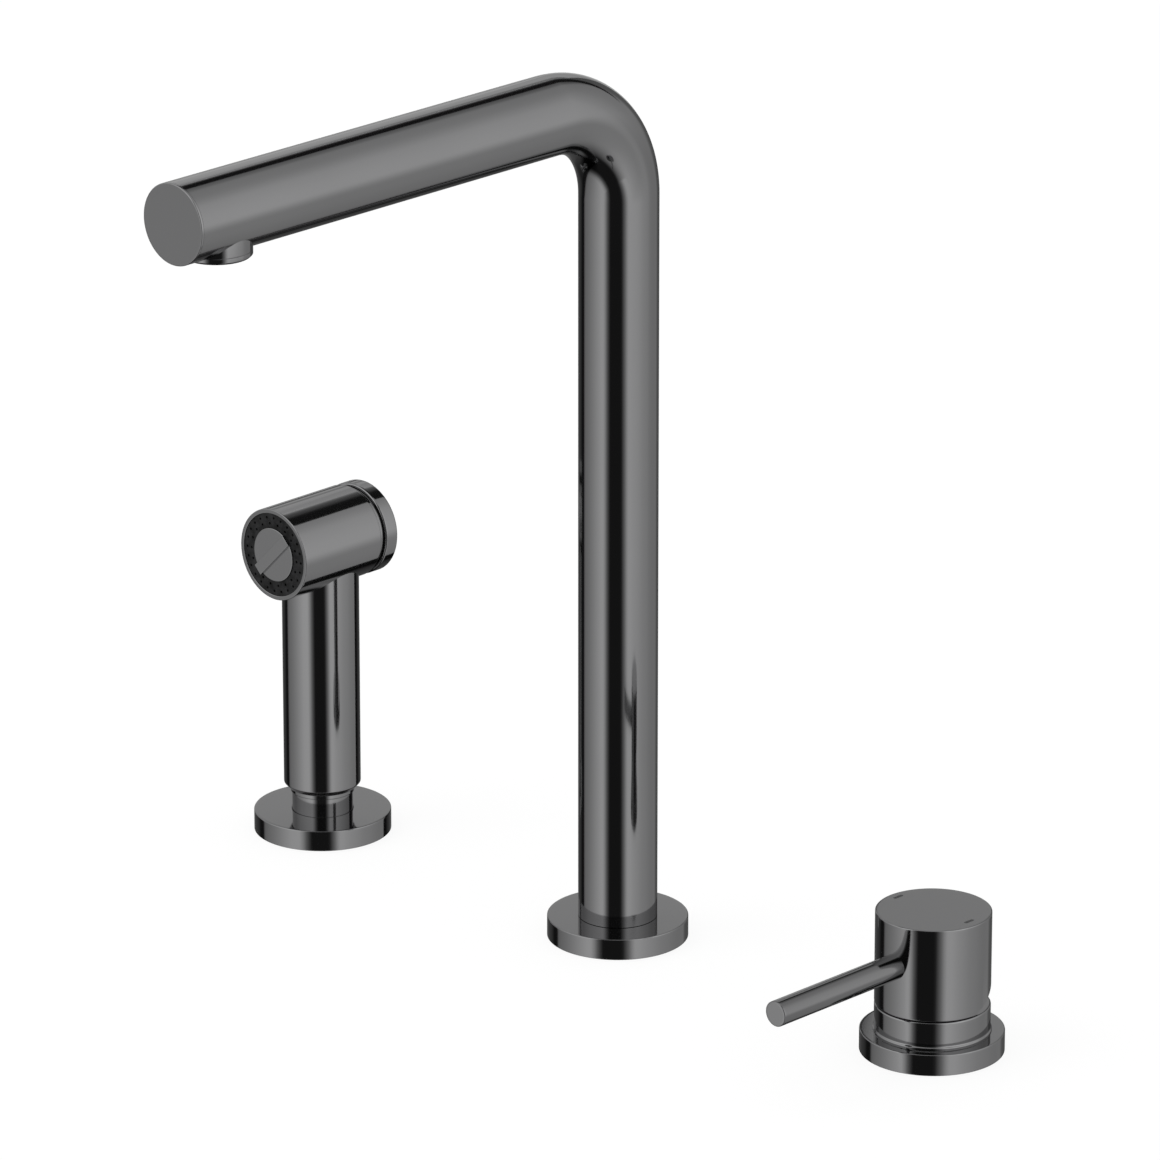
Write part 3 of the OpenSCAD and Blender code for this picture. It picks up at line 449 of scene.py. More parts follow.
def finish_start(name, **values):
    material, tree = plain_material(name)
    shader = add_node(tree, "ShaderNodeBsdfPrincipled")
    show(tree, shader.outputs[0])
    feed_all(tree, shader, **values)
    return material, tree, shader, add_node(tree, "ShaderNodeTexCoord").outputs["Object"]


def grain(tree, place, scale, detail=3.0, stretch=None):
    """Noise with that many features to a metre. A stretch of three factors makes it lie along an axis."""
    if stretch:
        mapping = add_node(tree, "ShaderNodeMapping")
        feed_all(tree, mapping, Vector=place, Scale=stretch)
        place = mapping.outputs[0]
    noise = add_node(tree, "ShaderNodeTexNoise")
    feed_all(tree, noise, Vector=place, Scale=scale, Detail=detail)
    return noise.outputs["Fac"]


def spread(tree, source, low, high, clip=(0.3, 0.7)):
    """Stretch what lies between the clip's two ends, as most noise does, over low to high."""
    made = add_node(tree, "ShaderNodeMapRange")
    feed_all(tree, made, Value=source, From_Min=clip[0], From_Max=clip[1], To_Min=low, To_Max=high)
    return made.outputs["Result"]


def mix_colours(tree, factor, first, second):
    made = add_node(tree, "ShaderNodeMix", data_type="RGBA")
    feed(tree, made.inputs["Factor"], factor)
    feed(tree, made.inputs[MIX_FIRST], first)
    feed(tree, made.inputs[MIX_SECOND], second)
    return made.outputs[MIX_RESULT]


def shade(colour, share=1.0):
    return (*[c * share for c in colour], 1)


def bumpy(tree, shader, height, strength, distance):
    made = add_node(tree, "ShaderNodeBump")
    feed_all(tree, made, Strength=strength, Distance=distance, Height=height)
    feed(tree, shader.inputs["Normal"], made.outputs[0])


print("finish helpers ready")

# %% [markdown]
# Gunmetal plating is a thin dark film over polished metal. It reflects about a quarter of the light, in a
# nearly neutral grey, and little more at a grazing angle. Close up it isn't a perfect mirror: a fine
# haze, a few polishing marks and a slightly lighter tone where edges are worn keep it from looking like
# glass. Pointiness finds the edges. A finish with a stretch of less than 1 along one axis has its marks
# drawn out along it.

# %% Polished gunmetal
GUNMETAL = (0.254, 0.254, 0.257)
FILM_DARKER, FILM_LIGHTER = 0.985, 1.015
WORN_LIGHTER, WORN_COVER, WORN_CLIP = 1.35, 0.35, (0.52, 0.60)
HAZE_LESS, HAZE_MORE, MARK_SHARE = 0.92, 1.08, 0.25
CLOUD_SCALE, MARK_SCALE, RIPPLE_SCALE = 22, 900, 2600
RIPPLE_STRENGTH, RIPPLE_DEPTH = 0.035, 0.00002


def gunmetal_finish(name, share, haze, mark_stretch):
    """Gunmetal that is lighter or darker by a share."""
    base = [c * share for c in GUNMETAL]
    material, tree, shader, place = finish_start(name, Metallic=1.0)
    cloud = grain(tree, place, CLOUD_SCALE, detail=4)
    film = mix_colours(tree, spread(tree, cloud, 0, 1), shade(base, FILM_DARKER), shade(base, FILM_LIGHTER))
    pointed = add_node(tree, "ShaderNodeNewGeometry").outputs["Pointiness"]
    worn = math_node(tree, "MULTIPLY", spread(tree, pointed, 0.0, 1.0, clip=WORN_CLIP), WORN_COVER)
    scratches = grain(tree, place, MARK_SCALE, detail=2, stretch=mark_stretch)
    marks = math_node(tree, "MULTIPLY", scratches, haze * MARK_SHARE)
    soft = spread(tree, cloud, haze * HAZE_LESS, haze * HAZE_MORE)
    feed_all(tree, shader, Base_Color=mix_colours(tree, worn, film, shade(base, WORN_LIGHTER)),
        Roughness=math_node(tree, "ADD", soft, marks))
    bumpy(tree, shader, grain(tree, place, RIPPLE_SCALE, detail=2), RIPPLE_STRENGTH, RIPPLE_DEPTH)
    return material


gunmetal = gunmetal_finish("polished_gunmetal", share=1, haze=0.075, mark_stretch=(1, 1, 0.15))
faced_gunmetal = gunmetal_finish("faced_gunmetal", share=1.08, haze=0.12, mark_stretch=(1, 1, 1))
# The lever rod's darker copy is painted shade, and its end face's lighter copy is a painted highlight.
painted_shade_rod_gunmetal = gunmetal_finish("painted_shade_rod_gunmetal", share=0.8, haze=0.075, mark_stretch=(1, 0.15, 1))
painted_highlight_end_gunmetal = gunmetal_finish("painted_highlight_end_gunmetal", share=1.38, haze=0.12, mark_stretch=(1, 1, 1))
print("gunmetal reflects", GUNMETAL[0])

# %% [markdown]
# Below the deck nothing is plated. Brass comes off the lathe with fine rings round its axis, and stamped
# steel washers are brushed. Rings are a wave of the height along the axis, bent a little by noise.

# %% Brass and steel
TURNED_SCALE, TURNED_LESS, TURNED_MORE = 60, 0.8, 1.25
RING_BEND, RING_DETAIL = 2.5, 2.0
RING_STRENGTH, RING_DEPTH = 0.12, 0.00005


def turned_metal(name, dark, light, rough, pitch):
    material, tree, shader, place = finish_start(name, Metallic=1.0)
    cloud = grain(tree, place, TURNED_SCALE, detail=4)
    feed_all(tree, shader, Base_Color=mix_colours(tree, spread(tree, cloud, 0, 1), shade(dark), shade(light)),
        Roughness=spread(tree, cloud, rough * TURNED_LESS, rough * TURNED_MORE))
    rings = add_node(tree, "ShaderNodeTexWave", wave_type="BANDS", bands_direction="Z")
    feed_all(tree, rings, Vector=place, Scale=pitch, Distortion=RING_BEND, Detail=RING_DETAIL)
    bumpy(tree, shader, rings.outputs["Fac"], RING_STRENGTH, RING_DEPTH)
    return material


brass = turned_metal("turned_brass", (0.66, 0.47, 0.21), (0.78, 0.60, 0.31), rough=0.28, pitch=320)
steel = turned_metal("brushed_steel", (0.48, 0.48, 0.49), (0.60, 0.60, 0.61), rough=0.30, pitch=480)
print("brass and steel ready")

# %% [markdown]
# Rubber is nearly black and soft in its gloss, with a fine moulded grain. Acetal is the milky plastic of
# valve parts, and the cartridge discs are dense white ceramic, ground and lapped until they shine.

# %% Rubber, plastic and ceramic
MATT_LESS, MATT_MORE, GRAIN_DEPTH = 0.85, 1.15, 0.0001


def matt_finish(name, dark, light, rough, scale, strength, **values):
    """Colour varies at that scale, roughness three times as finely and the surface six times."""
    material, tree, shader, place = finish_start(name, **values)
    cloud = spread(tree, grain(tree, place, scale, detail=4), 0, 1)
    feed_all(tree, shader, Base_Color=mix_colours(tree, cloud, shade(dark), shade(light)),
        Roughness=spread(tree, grain(tree, place, scale * 3), rough * MATT_LESS, rough * MATT_MORE))
    bumpy(tree, shader, grain(tree, place, scale * 6, detail=2), strength, GRAIN_DEPTH)
    return material


rubber = matt_finish("black_rubber", (0.012, 0.012, 0.012), (0.032, 0.032, 0.033), rough=0.62, scale=420,
    strength=0.25, Specular_IOR_Level=0.35)
nozzle_rubber = matt_finish("nozzle_rubber", (0.003, 0.003, 0.003), (0.022, 0.022, 0.023), rough=0.55,
    scale=260, strength=0.6, Specular_IOR_Level=0.16)
acetal = matt_finish("white_acetal", (0.72, 0.71, 0.67), (0.80, 0.79, 0.75), rough=0.42, scale=260,
    strength=0.08)
ceramic = matt_finish("white_ceramic", (0.80, 0.79, 0.75), (0.88, 0.87, 0.84), rough=0.16, scale=500,
    strength=0.03, Coat_Weight=0.3)
FINISHES = {"gunmetal": gunmetal, "brass": brass, "steel": steel, "rubber": rubber, "acetal": acetal,
    "ceramic": ceramic}
print("finishes:", ", ".join(FINISHES))

# %% [markdown]
# Each CAD node gets the finish of its slot, which the record names. The slip ring is plated like its
# neighbours, and the nozzle pad has a rubber of its own. Real shiny pieces can't mirror what is below the
# deck, because the deck is in the way. Here reflections pass through the floor, so that it doesn't whiten
# the metal, and the nodes that reach below it are kept out of reflections instead.

# %% Dress the CAD nodes
DECK_MARGIN = 0.0005
node_slot = {part["node"]: part["material_slot"] for part in frame["record"]["subparts"]}
below_deck = []
for node_name, cad_object in frame["nodes"].items():
    cad_object.data.materials.clear()
    cad_object.data.materials.append(FINISHES[node_slot[node_name]])
    if min(v.co.z for v in cad_object.data.vertices) < -DECK_MARGIN:
        cad_object.visible_glossy = False
        below_deck.append(node_name)
frame["nodes"]["slip_ring"].data.materials[0] = gunmetal
frame["nodes"]["nozzle_pad"].data.materials[0] = nozzle_rubber
print(len(frame["nodes"]), "nodes dressed,", len(below_deck), "of them reach below the deck")

# %% [markdown]
# Nearly every piece that shows was turned on a lathe, and a lathe is easy to copy: draw half of the
# section and spin it round the axis. A real edge is never sharp, so the edges that the profile marks are
# then bevelled with a few steps. A small radius catches a thin line of light, which the photograph shows
# on every rim.

# %% Lathe helpers
MM = 0.001
STEPS = 128
SAME_PLACE, SAME_CIRCLE = 1e-7, 2e-6
HELD_AT = 3  # how many roundings away from the rounded point its held points lie
MAX_SHARE = 0.4  # the most of an edge that the length between them may take


def held(profile):
    """Put a point on both sides of each rounded one, so that its rounding doesn't spread over the face."""
    longer = []
    for i, (r, z, rounding) in enumerate(profile):
        sides = []
        for near_r, near_z, _ in (profile[i - 1], profile[(i + 1) % len(profile)]):
            share = HELD_AT * rounding / math.hypot(near_r - r, near_z - z)
            held_point = (r + (near_r - r) * share, z + (near_z - z) * share, 0)
            sides.append([held_point] if 0 < share < MAX_SHARE else [])
        longer += sides[0] + [(r, z, rounding)] + sides[1]
    return longer


def round_edges(bm, edges, offset, segments=4):
    bmesh.ops.bevel(bm, geom=edges, offset=offset * MM, offset_type="OFFSET", segments=segments,
        profile=0.5, affect="EDGES", material=-1, clamp_overlap=True)


def soften_circle(bm, r, z, rounding):
    """Bevel the circle of edges at radius r and height z."""
    def on_it(v):
        near_r = abs(math.hypot(v.co.x, v.co.y) - r * MM) < SAME_CIRCLE
        return near_r and abs(v.co.z - z * MM) < SAME_CIRCLE
    round_edges(bm, [e for e in bm.edges if all(on_it(v) for v in e.verts)], rounding)


def lathe(profile, closed=False, steps=STEPS):
    """Spin a list of (radius, height, rounding) in millimetres round Z. Returns the bmesh."""
    profile = held(profile)
    bm = bmesh.new()
    points = [bm.verts.new((r * MM, 0, z * MM)) for r, z, _ in profile]
    edges = [bm.edges.new(pair) for pair in zip(points, points[1:])]
    if closed:
        edges.append(bm.edges.new((points[-1], points[0])))
    bmesh.ops.spin(bm, geom=points + edges, cent=(0, 0, 0), axis=(0, 0, 1), dvec=(0, 0, 0),
        angle=2 * math.pi, space=Matrix.Identity(4), steps=steps, use_merge=True,
        use_normal_flip=False, use_duplicate=False)
    bmesh.ops.remove_doubles(bm, verts=bm.verts, dist=SAME_PLACE)
    bmesh.ops.recalc_face_normals(bm, faces=bm.faces)
    for r, z, rounding in profile:
        if rounding:
            soften_circle(bm, r, z, rounding)
    return bm


print("lathe with", STEPS, "steps")

# %% [markdown]
# A finished mesh becomes a named piece that stands for a CAD node and rides with that node's body.
# Weighted normals keep its large faces true, so that only the rounding bends the reflection. Pieces are
# drawn along +Z. The arm's cap, the spray head and the lever are then laid down to point forward.

# %% Piece helpers
SHARP = 40
SPRAY_X, MIXER_X = -150, 150
BODY_OF = {node: body for body, members in frame["record"]["behaviour"]["bodies"].items()
    for node in members}


def finish_piece(bm, name, node, material, place=Matrix.Identity(4), sharp=SHARP):
    bmesh.ops.transform(bm, matrix=place, verts=bm.verts)
    piece = mesh_object(bm, name)
    piece.data.shade_smooth()
    piece.data.set_sharp_from_angle(angle=math.radians(sharp))
    piece.data.materials.append(material)
    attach(piece, BODY_OF[node])
    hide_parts(node)
    return piece


def true_normals(piece):
    weighted = piece.modifiers.new("true_normals", "WEIGHTED_NORMAL")
    weighted.mode = "FACE_AREA"
    weighted.weight = 100
    weighted.keep_sharp = True
    print(f"{piece.name}: {len(piece.data.polygons)} faces")
    return piece


def turned_piece(profile, name, node, material, place, closed=False):
    return true_normals(finish_piece(lathe(profile, closed), name, node, material, place))


def standing(x):
    return Matrix.Translation((x * MM, 0, 0))


def facing_front(x, z):
    """Lay what was drawn along +Z so that it points to -Y, with its axis at x and z."""
    return Matrix.Translation((x * MM, 0, z * MM)) @ Matrix.Rotation(math.pi / 2, 4, "X")


print("piece helpers ready")

# %% [markdown]
# Set screws sit in drilled holes at the back of the spout and of the mixer cap, and the mixer body has
# water ways. A drill is a boolean cut. It is applied at once and the cutter is removed, so nothing but
# the drilled mesh is left.

# %% Drill helper
DRILL_SIDES = 48
TO_BACK = Matrix.Rotation(-math.pi / 2, 4, "X")  # turns +Z into +Y


def drill(piece, radius, length, place):
    """Cut a round hole: the drill stands on the place's origin and points along its +Z."""
    bm = bmesh.new()
    bmesh.ops.create_cone(bm, cap_ends=True, segments=DRILL_SIDES, radius1=radius * MM,
        radius2=radius * MM, depth=length * MM)
    bmesh.ops.translate(bm, verts=bm.verts, vec=(0, 0, length * MM / 2))
    bmesh.ops.transform(bm, matrix=place, verts=bm.verts)
    cutter = mesh_object(bm, "drill")
    cut = piece.modifiers.new("drilled", "BOOLEAN")
    cut.operation = "DIFFERENCE"
    cut.solver = "EXACT"
    cut.object = cutter
    bpy.context.view_layer.update()
    drilled = bpy.data.meshes.new_from_object(piece.evaluated_get(bpy.context.evaluated_depsgraph_get()))
    piece.modifiers.clear()
    piece.data = drilled
    drilled.set_sharp_from_angle(angle=math.radians(SHARP))
    bpy.data.objects.remove(cutter)


print("drill with", DRILL_SIDES, "sides")

# %% [markdown]
# Each unit stands on a round flange. It is a low turned cup with a pocket inside, and its top edge is
# broken by a third of a millimetre. The three differ only in the hole that their unit passes through.

# %% Three flanges
FLANGE_R, FLANGE_TOP = 25, 7.6
POCKET_R, POCKET_TOP = 17.05, 5.6
RECESS_R, RECESS_TOP = 23, 2
FLANGES = (("spout_flange", 10.65, 0), ("holder_flange", 11.2, SPRAY_X), ("mixer_flange", 16.05, MIXER_X))
for node, hole_r, x in FLANGES:
    profile = [(FLANGE_R, 0, 0.15), (FLANGE_R, FLANGE_TOP, 0.35), (hole_r, FLANGE_TOP, 0.2),
        (hole_r, POCKET_TOP, 0), (POCKET_R, POCKET_TOP, 0), (POCKET_R, RECESS_TOP, 0),
        (RECESS_R, RECESS_TOP, 0), (RECESS_R, 0, 0)]
    turned_piece(profile, "turned_" + node, node, gunmetal, standing(x), closed=True)

# %% [markdown]
# The spout is one length of 28 mm tube, bent once through a right angle. The mesh is made the same way:
# a circle is extruded up to the bend, spun through 90 degrees about the bend's centre and extruded again
# along the arm.

# %% Spout tube
TUBE_R, FOOT_Z, BEND_R, ARM_Z, ARM_END = 14, 7.76, 35, 309, 208
BEND_STEPS = 48
RIM_STRIP = 0.3  # a narrow strip at both open ends, which holds the shading next to the rim
HOLE_STRIP = (14, 24)  # the heights between which the set screw's hole lies


def extrude_rim(bm, rim, vec):
    made = bmesh.ops.extrude_edge_only(bm, edges=rim)["geom"]
    moved = [g for g in made if isinstance(g, bmesh.types.BMVert)]
    bmesh.ops.translate(bm, verts=moved, vec=Vector(vec) * MM)
    return [g for g in made if isinstance(g, bmesh.types.BMEdge) and all(v in moved for v in g.verts)]


bm = bmesh.new()
circle = bmesh.ops.create_circle(bm, cap_ends=False, segments=STEPS, radius=TUBE_R * MM)
bmesh.ops.translate(bm, verts=circle["verts"], vec=(0, 0, FOOT_Z * MM))
rim = list(bm.edges)
levels = (FOOT_Z, FOOT_Z + RIM_STRIP, *HOLE_STRIP, ARM_Z - BEND_R)
for start, end in zip(levels, levels[1:]):
    rim = extrude_rim(bm, rim, (0, 0, end - start))
bend = bmesh.ops.spin(bm, geom=rim + list({v for e in rim for v in e.verts}),
    cent=(0, -BEND_R * MM, (ARM_Z - BEND_R) * MM), axis=(1, 0, 0), dvec=(0, 0, 0), angle=math.pi / 2,
    space=Matrix.Identity(4), steps=BEND_STEPS, use_merge=False, use_normal_flip=False,
    use_duplicate=False)
rim = [g for g in bend["geom_last"] if isinstance(g, bmesh.types.BMEdge)]
rim = extrude_rim(bm, rim, (0, -(ARM_END - BEND_R - RIM_STRIP), 0))
extrude_rim(bm, rim, (0, -RIM_STRIP, 0))
bmesh.ops.remove_doubles(bm, verts=bm.verts, dist=SAME_PLACE)
bmesh.ops.recalc_face_normals(bm, faces=bm.faces)
print("spout tube drawn with", len(bm.faces), "faces")

# %% [markdown]
# An open tube has no inside that Blender could know, so the script looks at the straight part itself: if
# its faces look at the axis, all faces are turned round. Then Solidify gives the tube its 2 mm wall, and
# the hole for the set screw is drilled at the back.

# %% Tube wall and screw hole
TUBE_WALL, STRAIGHT_TOP = 2, 200
HOLE_R, HOLE_LENGTH, HOLE_FROM, HOLE_Z = 2.02, 8, 9, 19
straight = [(f.normal, f.calc_center_median()) for f in bm.faces]
outward = sum(normal.dot(Vector((middle.x, middle.y, 0))) for normal, middle in straight
    if middle.z < STRAIGHT_TOP * MM)
if outward < 0:
    bmesh.ops.reverse_faces(bm, faces=bm.faces)
spout_tube = finish_piece(bm, "bent_spout_tube", "spout_tube", gunmetal)
wall = spout_tube.modifiers.new("tube_wall", "SOLIDIFY")
wall.thickness = TUBE_WALL * MM
wall.offset = -1
drill(spout_tube, HOLE_R, HOLE_LENGTH, Matrix.Translation((0, HOLE_FROM * MM, HOLE_Z * MM)) @ TO_BACK)
true_normals(spout_tube)

# %% [markdown]
# The arm's open end is closed by a thin turned plug. Its plate is as wide as the tube, and the hair line
# where the two meet shows as a thin ring round the end.

# %% Spout end cap
end_profile = [(0, 209, 0), (14, 209, 0.35), (14, 208.04, 0.06), (11.98, 208.04, 0), (11.98, 203, 0),
    (10.5, 203, 0), (10.5, 208, 0), (0, 208, 0)]
turned_piece(end_profile, "turned_end_cap", "spout_end_cap", faced_gunmetal, facing_front(0, ARM_Z))

# %% [markdown]
# Below the arm's end sits the outlet: a short socket that is brazed into the tube, and a ring with a
# chamfered edge that screws into it and holds the aerator. Both are turned on the same vertical axis.

# %% Outlet socket and mouth ring
OUTLET_Y = -189.5
outlet_place = Matrix.Translation((0, OUTLET_Y * MM, 0))
socket_profile = [(12, 296.5, 0.15), (12, 303.45, 0), (7.5, 303.45, 0), (7.5, 301.7, 0), (10.9, 301.7, 0),
    (10.9, 296.5, 0.1)]
turned_piece(socket_profile, "brazed_outlet_socket", "outlet_socket", gunmetal, outlet_place, closed=True)
mouth_profile = [(11.3, 294.3, 0.15), (12, 295, 0.15), (12, 296.35, 0), (11.85, 296.5, 0),
    (10.88, 296.5, 0), (10.88, 301, 0), (9.6, 301, 0), (9.6, 295.1, 0), (8.9, 295.1, 0.1), (8.9, 294.3, 0.2)]
turned_piece(mouth_profile, "outlet_mouth_ring", "aerator_shell", gunmetal, outlet_place, closed=True)

# %% [markdown]
# The spray's docking neck is the part that plugs into the holder. Only a short length of it shows between
# the holder's flange and the handle. It is turned from one bar, with grooves for its seal and its clip.
# As with the mixer body, what is below the deck is a lathe piece of its own and stays out of reflections.

# %% Spray neck
neck_profile = [(4.5, 4, 0), (11.1, 4, 0), (11.1, 16.7, 0.2), (9.5, 16.7, 0), (9.5, 22.55, 0),
    (7.71, 22.55, 0), (7.71, 24.85, 0), (9.5, 24.85, 0), (9.5, 29.72, 0), (8.6, 29.72, 0), (8.6, 30.8, 0),
    (9.5, 30.8, 0), (9.5, 33.7, 0.3), (4.5, 33.7, 0)]
turned_piece(neck_profile, "turned_spray_neck", "spray_neck", gunmetal, standing(SPRAY_X), closed=True)
plug_profile = [(4.5, -27.95, 0), (7.5, -27.95, 0.3), (7.5, -17.95, 0), (10.1, -17.95, 0),
    (11.1, -16.95, 0), (11.1, 4, 0), (4.5, 4, 0)]
plug = turned_piece(plug_profile, "turned_spray_plug", "spray_neck", gunmetal, standing(SPRAY_X), closed=True)
plug.visible_glossy = False

# %% [markdown]
# The handle is a straight tube with a slightly tapered foot. Its upper end is cut to the curve of the
# head and soldered to it, so in the mesh it simply runs into the head.

# %% Spray handle
handle_profile = [(0, 111, 0), (14, 111, 0), (14, 18.3, 0.25), (12.3, 16.4, 0.2), (11.6, 16.4, 0),
    (11.6, 14.7, 0.15), (11.2, 14.7, 0), (11.2, 16.75, 0), (9.55, 16.75, 0), (9.55, 29.7, 0),
    (12, 29.7, 0), (12, 105, 0), (0, 105, 0)]
turned_piece(handle_profile, "turned_spray_handle", "spray_handle", gunmetal, standing(SPRAY_X))

# %% [markdown]
# The head is a short drum across the handle. Its front has a deep seat for the nozzle pad inside a thin
# rim, and a guide boss for the button stands behind it.

# %% Spray head
HEAD_Z = 111
head_place = facing_front(SPRAY_X, HEAD_Z)
head_profile = [(2.55, -17.4, 0), (15.7, -17.4, 0.2), (15.7, -14.4, 0.1), (17, -14.4, 0.2),
    (17, 23.2, 0.35), (15.4, 23.2, 0.2), (15.4, 19.6, 0), (14.4, 19.6, 0), (14.4, -11.4, 0),
    (2.55, -11.4, 0)]
turned_piece(head_profile, "turned_spray_head", "spray_head", gunmetal, head_place, closed=True)

# %% [markdown]
# Behind the head is the push button, as wide as the head, with a gap that closes when it is pressed. Its
# face is dished for the thumb. The dish is part of a large ball, so the profile takes a few points of it.

# %% Spray button
BALL_R, BALL_Z = 60, -82.2
dish = [(r, BALL_Z + math.sqrt(BALL_R ** 2 - r ** 2), 0) for r in (0, 3.6, 7.3, 10.9)]
button_profile = dish + [(16.2, -23.2, 0.2), (17, -22.4, 0.2), (17, -17.0, 0.8), (15.9, -17.0, 0.1),
    (15.9, -20.2, 0), (1.52, -20.2, 0), (1.52, -21.4, 0), (0, -21.4, 0)]
turned_piece(button_profile, "dished_push_button", "spray_button", gunmetal, head_place)

# %% [markdown]
# The spray face has a metal disc in the middle of the black nozzle pad, with a raised bar across it to
# turn it by. The disc is a lathe piece, and the bar is a cube that is scaled, laid on the disc, turned by
# 45 degrees and rounded at its edges.

# %% Face disc with its bar
BAR_LENGTH, BAR_WIDTH = 20.7, 4.3
BAR_FOOT, BAR_TOP, BAR_EDGE = 22.95, 24.3, 0.16
disc_profile = [(0, 23.4, 0), (9.9, 23.4, 0.2), (9.9, 22.9, 0), (2.45, 22.9, 0), (2.45, 9.55, 0),
    (0, 9.55, 0)]
bm = lathe(disc_profile)
bar = bmesh.ops.create_cube(bm, size=1)["verts"]
bar_middle = (BAR_TOP + BAR_FOOT) / 2 * MM
bmesh.ops.scale(bm, verts=bar, vec=(BAR_LENGTH * MM, BAR_WIDTH * MM, (BAR_TOP - BAR_FOOT) * MM))
bmesh.ops.translate(bm, verts=bar, vec=(0, 0, bar_middle))
bmesh.ops.rotate(bm, verts=bar, cent=(0, 0, 0), matrix=Matrix.Rotation(math.pi / 4, 3, "Z"))
bar_edges = {e for v in bar for e in v.link_edges}
round_edges(bm, [e for e in bar_edges if any(v.co.z > bar_middle for v in e.verts)], BAR_EDGE, segments=3)
true_normals(finish_piece(bm, "spray_face_disc", "face_disc", faced_gunmetal, head_place))

# %% [markdown]
# The mixer body rises out of its flange as a short ring with a shadow line below it, and narrows to a
# neck inside the handle cap. Below the deck it is a long shank with three drilled water ways. It is one
# casting, made here as two lathe pieces, because only the upper one may show in reflections.

# %% Mixer body and shank
PORT_R, PORT_LENGTH, PORT_START, PORT_AXIS = 4.5, 64, -66, 8.5
FEED_R, FEED_LENGTH, FEED_START = 2.4, 8, -4
WATER_WAYS = ((90, 5), (210, 7.2), (330, 7.2))  # each port's angle, and how far out its feed hole lies
body_profile = [(12.5, 4, 0), (12.5, 28.4, 0.2), (14.5, 28.4, 0.3), (14.5, 17.3, 0), (20, 17.3, 0.6),
    (20, 8.55, 0.2), (20.45, 8.1, 0.15), (20.45, 7.62, 0), (16, 7.6, 0), (16, 4, 0)]
turned_piece(body_profile, "turned_mixer_body", "mixer_body", gunmetal, standing(MIXER_X), closed=True)
shank_profile = [(0, 2, 0), (12.5, 2, 0), (12.5, 4, 0), (16, 4, 0), (16, -64, 0.4), (0, -64, 0)]
mixer_shank = finish_piece(lathe(shank_profile), "bored_mixer_shank", "mixer_body", gunmetal,
    standing(MIXER_X))
for port_angle, feed_axis in WATER_WAYS:
    turned = standing(MIXER_X) @ Matrix.Rotation(math.radians(port_angle), 4, "Z")
    drill(mixer_shank, PORT_R, PORT_LENGTH, turned
        @ Matrix.Translation((PORT_AXIS * MM, 0, PORT_START * MM)))
    drill(mixer_shank, FEED_R, FEED_LENGTH, turned
        @ Matrix.Translation((feed_axis * MM, 0, FEED_START * MM)))
true_normals(mixer_shank).visible_glossy = False

# %% [markdown]
# The handle cap is a turned cup over the cartridge. Its rear edge is cut back at a slope, so that the cap
# can tilt when the lever is lifted. One plane cuts the slope off, and triangles fill the wall's open end
# again, between the outer and the inner cut edge. Before that, four level planes only add rings of edges,
# which keep the faces short round the small hole at the back that takes the set screw.

# %% Handle cap
CAP_R, CAP_Z, CAP_TOP = 20, 17.5, 51
BORE_R, BORE_TOP = 17.8, 37.5
RING_HEIGHTS = (36, 39, 43.5, 47)
RELIEF = math.radians(28)
CAP_SHARP = 30
CAP_HOLE_R, CAP_HOLE_LENGTH, CAP_HOLE_FROM, CAP_HOLE_Z = 2.52, 18, 4, 41.15


def slice_at(bm, height, normal, clear=False):
    bmesh.ops.bisect_plane(bm, geom=list(bm.verts) + list(bm.edges) + list(bm.faces), dist=SAME_PLACE,
        plane_co=(0, 0, height * MM), plane_no=normal, clear_inner=clear)


cap_profile = [(0, CAP_TOP, 0), (CAP_R, CAP_TOP, 0.4), (CAP_R, CAP_Z, 0.7), (BORE_R, CAP_Z, 0),
    (BORE_R, BORE_TOP, 0), (0, BORE_TOP, 0)]
bm = lathe(cap_profile)
for height in RING_HEIGHTS:
    slice_at(bm, height, UP)
slope = Vector((0, -math.sin(RELIEF), math.cos(RELIEF)))
slice_at(bm, CAP_Z, slope, clear=True)
open_edges = [e for e in bm.edges if e.is_boundary]
bmesh.ops.triangle_fill(bm, use_beauty=True, edges=open_edges, normal=-slope)
bmesh.ops.recalc_face_normals(bm, faces=bm.faces)
print("cap rim closed:", not any(e.is_boundary for e in bm.edges), "from", len(open_edges), "edges")
handle_cap = finish_piece(bm, "relieved_handle_cap", "handle_cap", gunmetal, standing(MIXER_X),
    sharp=CAP_SHARP)
drill(handle_cap, CAP_HOLE_R, CAP_HOLE_LENGTH,
    Matrix.Translation((MIXER_X * MM, CAP_HOLE_FROM * MM, CAP_HOLE_Z * MM)) @ TO_BACK)
true_normals(handle_cap)
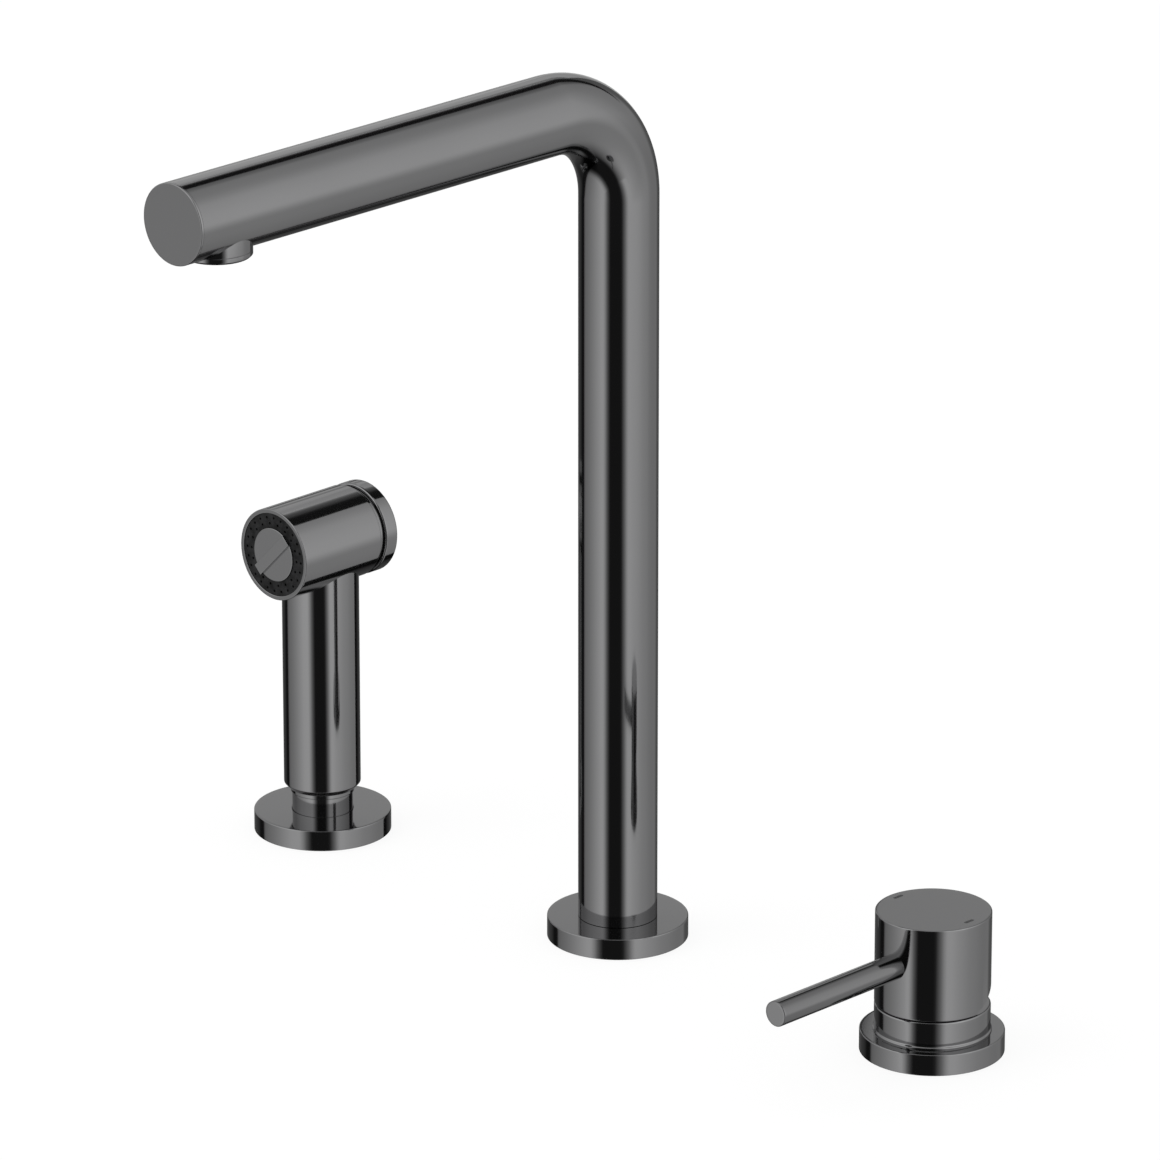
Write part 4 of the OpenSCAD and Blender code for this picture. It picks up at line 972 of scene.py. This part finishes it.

# %% [markdown]
# The lever is a plain rod whose thinner inner end is screwed into the cap. Its outer end is flat with a
# broken edge. The rod has a darker copy of the cap's gunmetal, which is painted shade, and its end face
# has a lighter copy, which is a painted highlight.

# %% Lever rod
LEVER_Z, LEVER_END, LEVER_STEPS = 35.7, 78.7, 96
END_FROM, END_FACING = 78, 0.99
lever_profile = [(0, LEVER_END, 0), (4.5, LEVER_END, 0.35), (4.5, 17.42, 0), (3, 17.42, 0), (3, 14.82, 0),
    (0, 14.82, 0)]
lever = true_normals(finish_piece(lathe(lever_profile, steps=LEVER_STEPS), "turned_lever_rod", "lever_rod",
    painted_shade_rod_gunmetal, facing_front(MIXER_X, LEVER_Z)))
lever.data.materials.append(painted_highlight_end_gunmetal)
# The flat end face takes the lighter copy, a painted highlight.
for face in lever.data.polygons:
    if face.normal.y < -END_FACING and face.center.y < -END_FROM * MM:
        face.material_index = 1

# %% [markdown]
# Two small dark bars are let into the cap's top, one near each side of the rim, to mark the two ends of
# the lever's swing. Each is a thin slab with rounded ends, filled with dark enamel.

# %% Index bars
INDEX_SIZE, INDEX_CORNER = Vector((1.4, 4.4, 0.3)), 0.55
INDEX_LIFT = 0.005  # how far the bars stand above the cap
INDEX_PLACES = ((-16.66, 0.31), (15.79, 0.43))
enamel = matt_finish("dark_enamel", (0.015, 0.015, 0.016), (0.035, 0.035, 0.037), rough=0.35, scale=700,
    strength=0.1)
for number, (x, y) in enumerate(INDEX_PLACES):
    bm = bmesh.new()
    slab = bmesh.ops.create_cube(bm, size=1)["verts"]
    bmesh.ops.scale(bm, verts=slab, vec=INDEX_SIZE * MM)
    round_edges(bm, [e for e in bm.edges if e.verts[0].co.z * e.verts[1].co.z < 0], INDEX_CORNER)
    middle = Vector((MIXER_X + x, y, CAP_TOP + INDEX_LIFT - INDEX_SIZE.z / 2))
    bmesh.ops.translate(bm, verts=bm.verts, vec=middle * MM)
    index_bar = mesh_object(bm, f"index_bar_{number}")
    index_bar.data.materials.append(enamel)
    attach(index_bar, BODY_OF["handle_cap"])
    print(index_bar.name, "at", x, y)
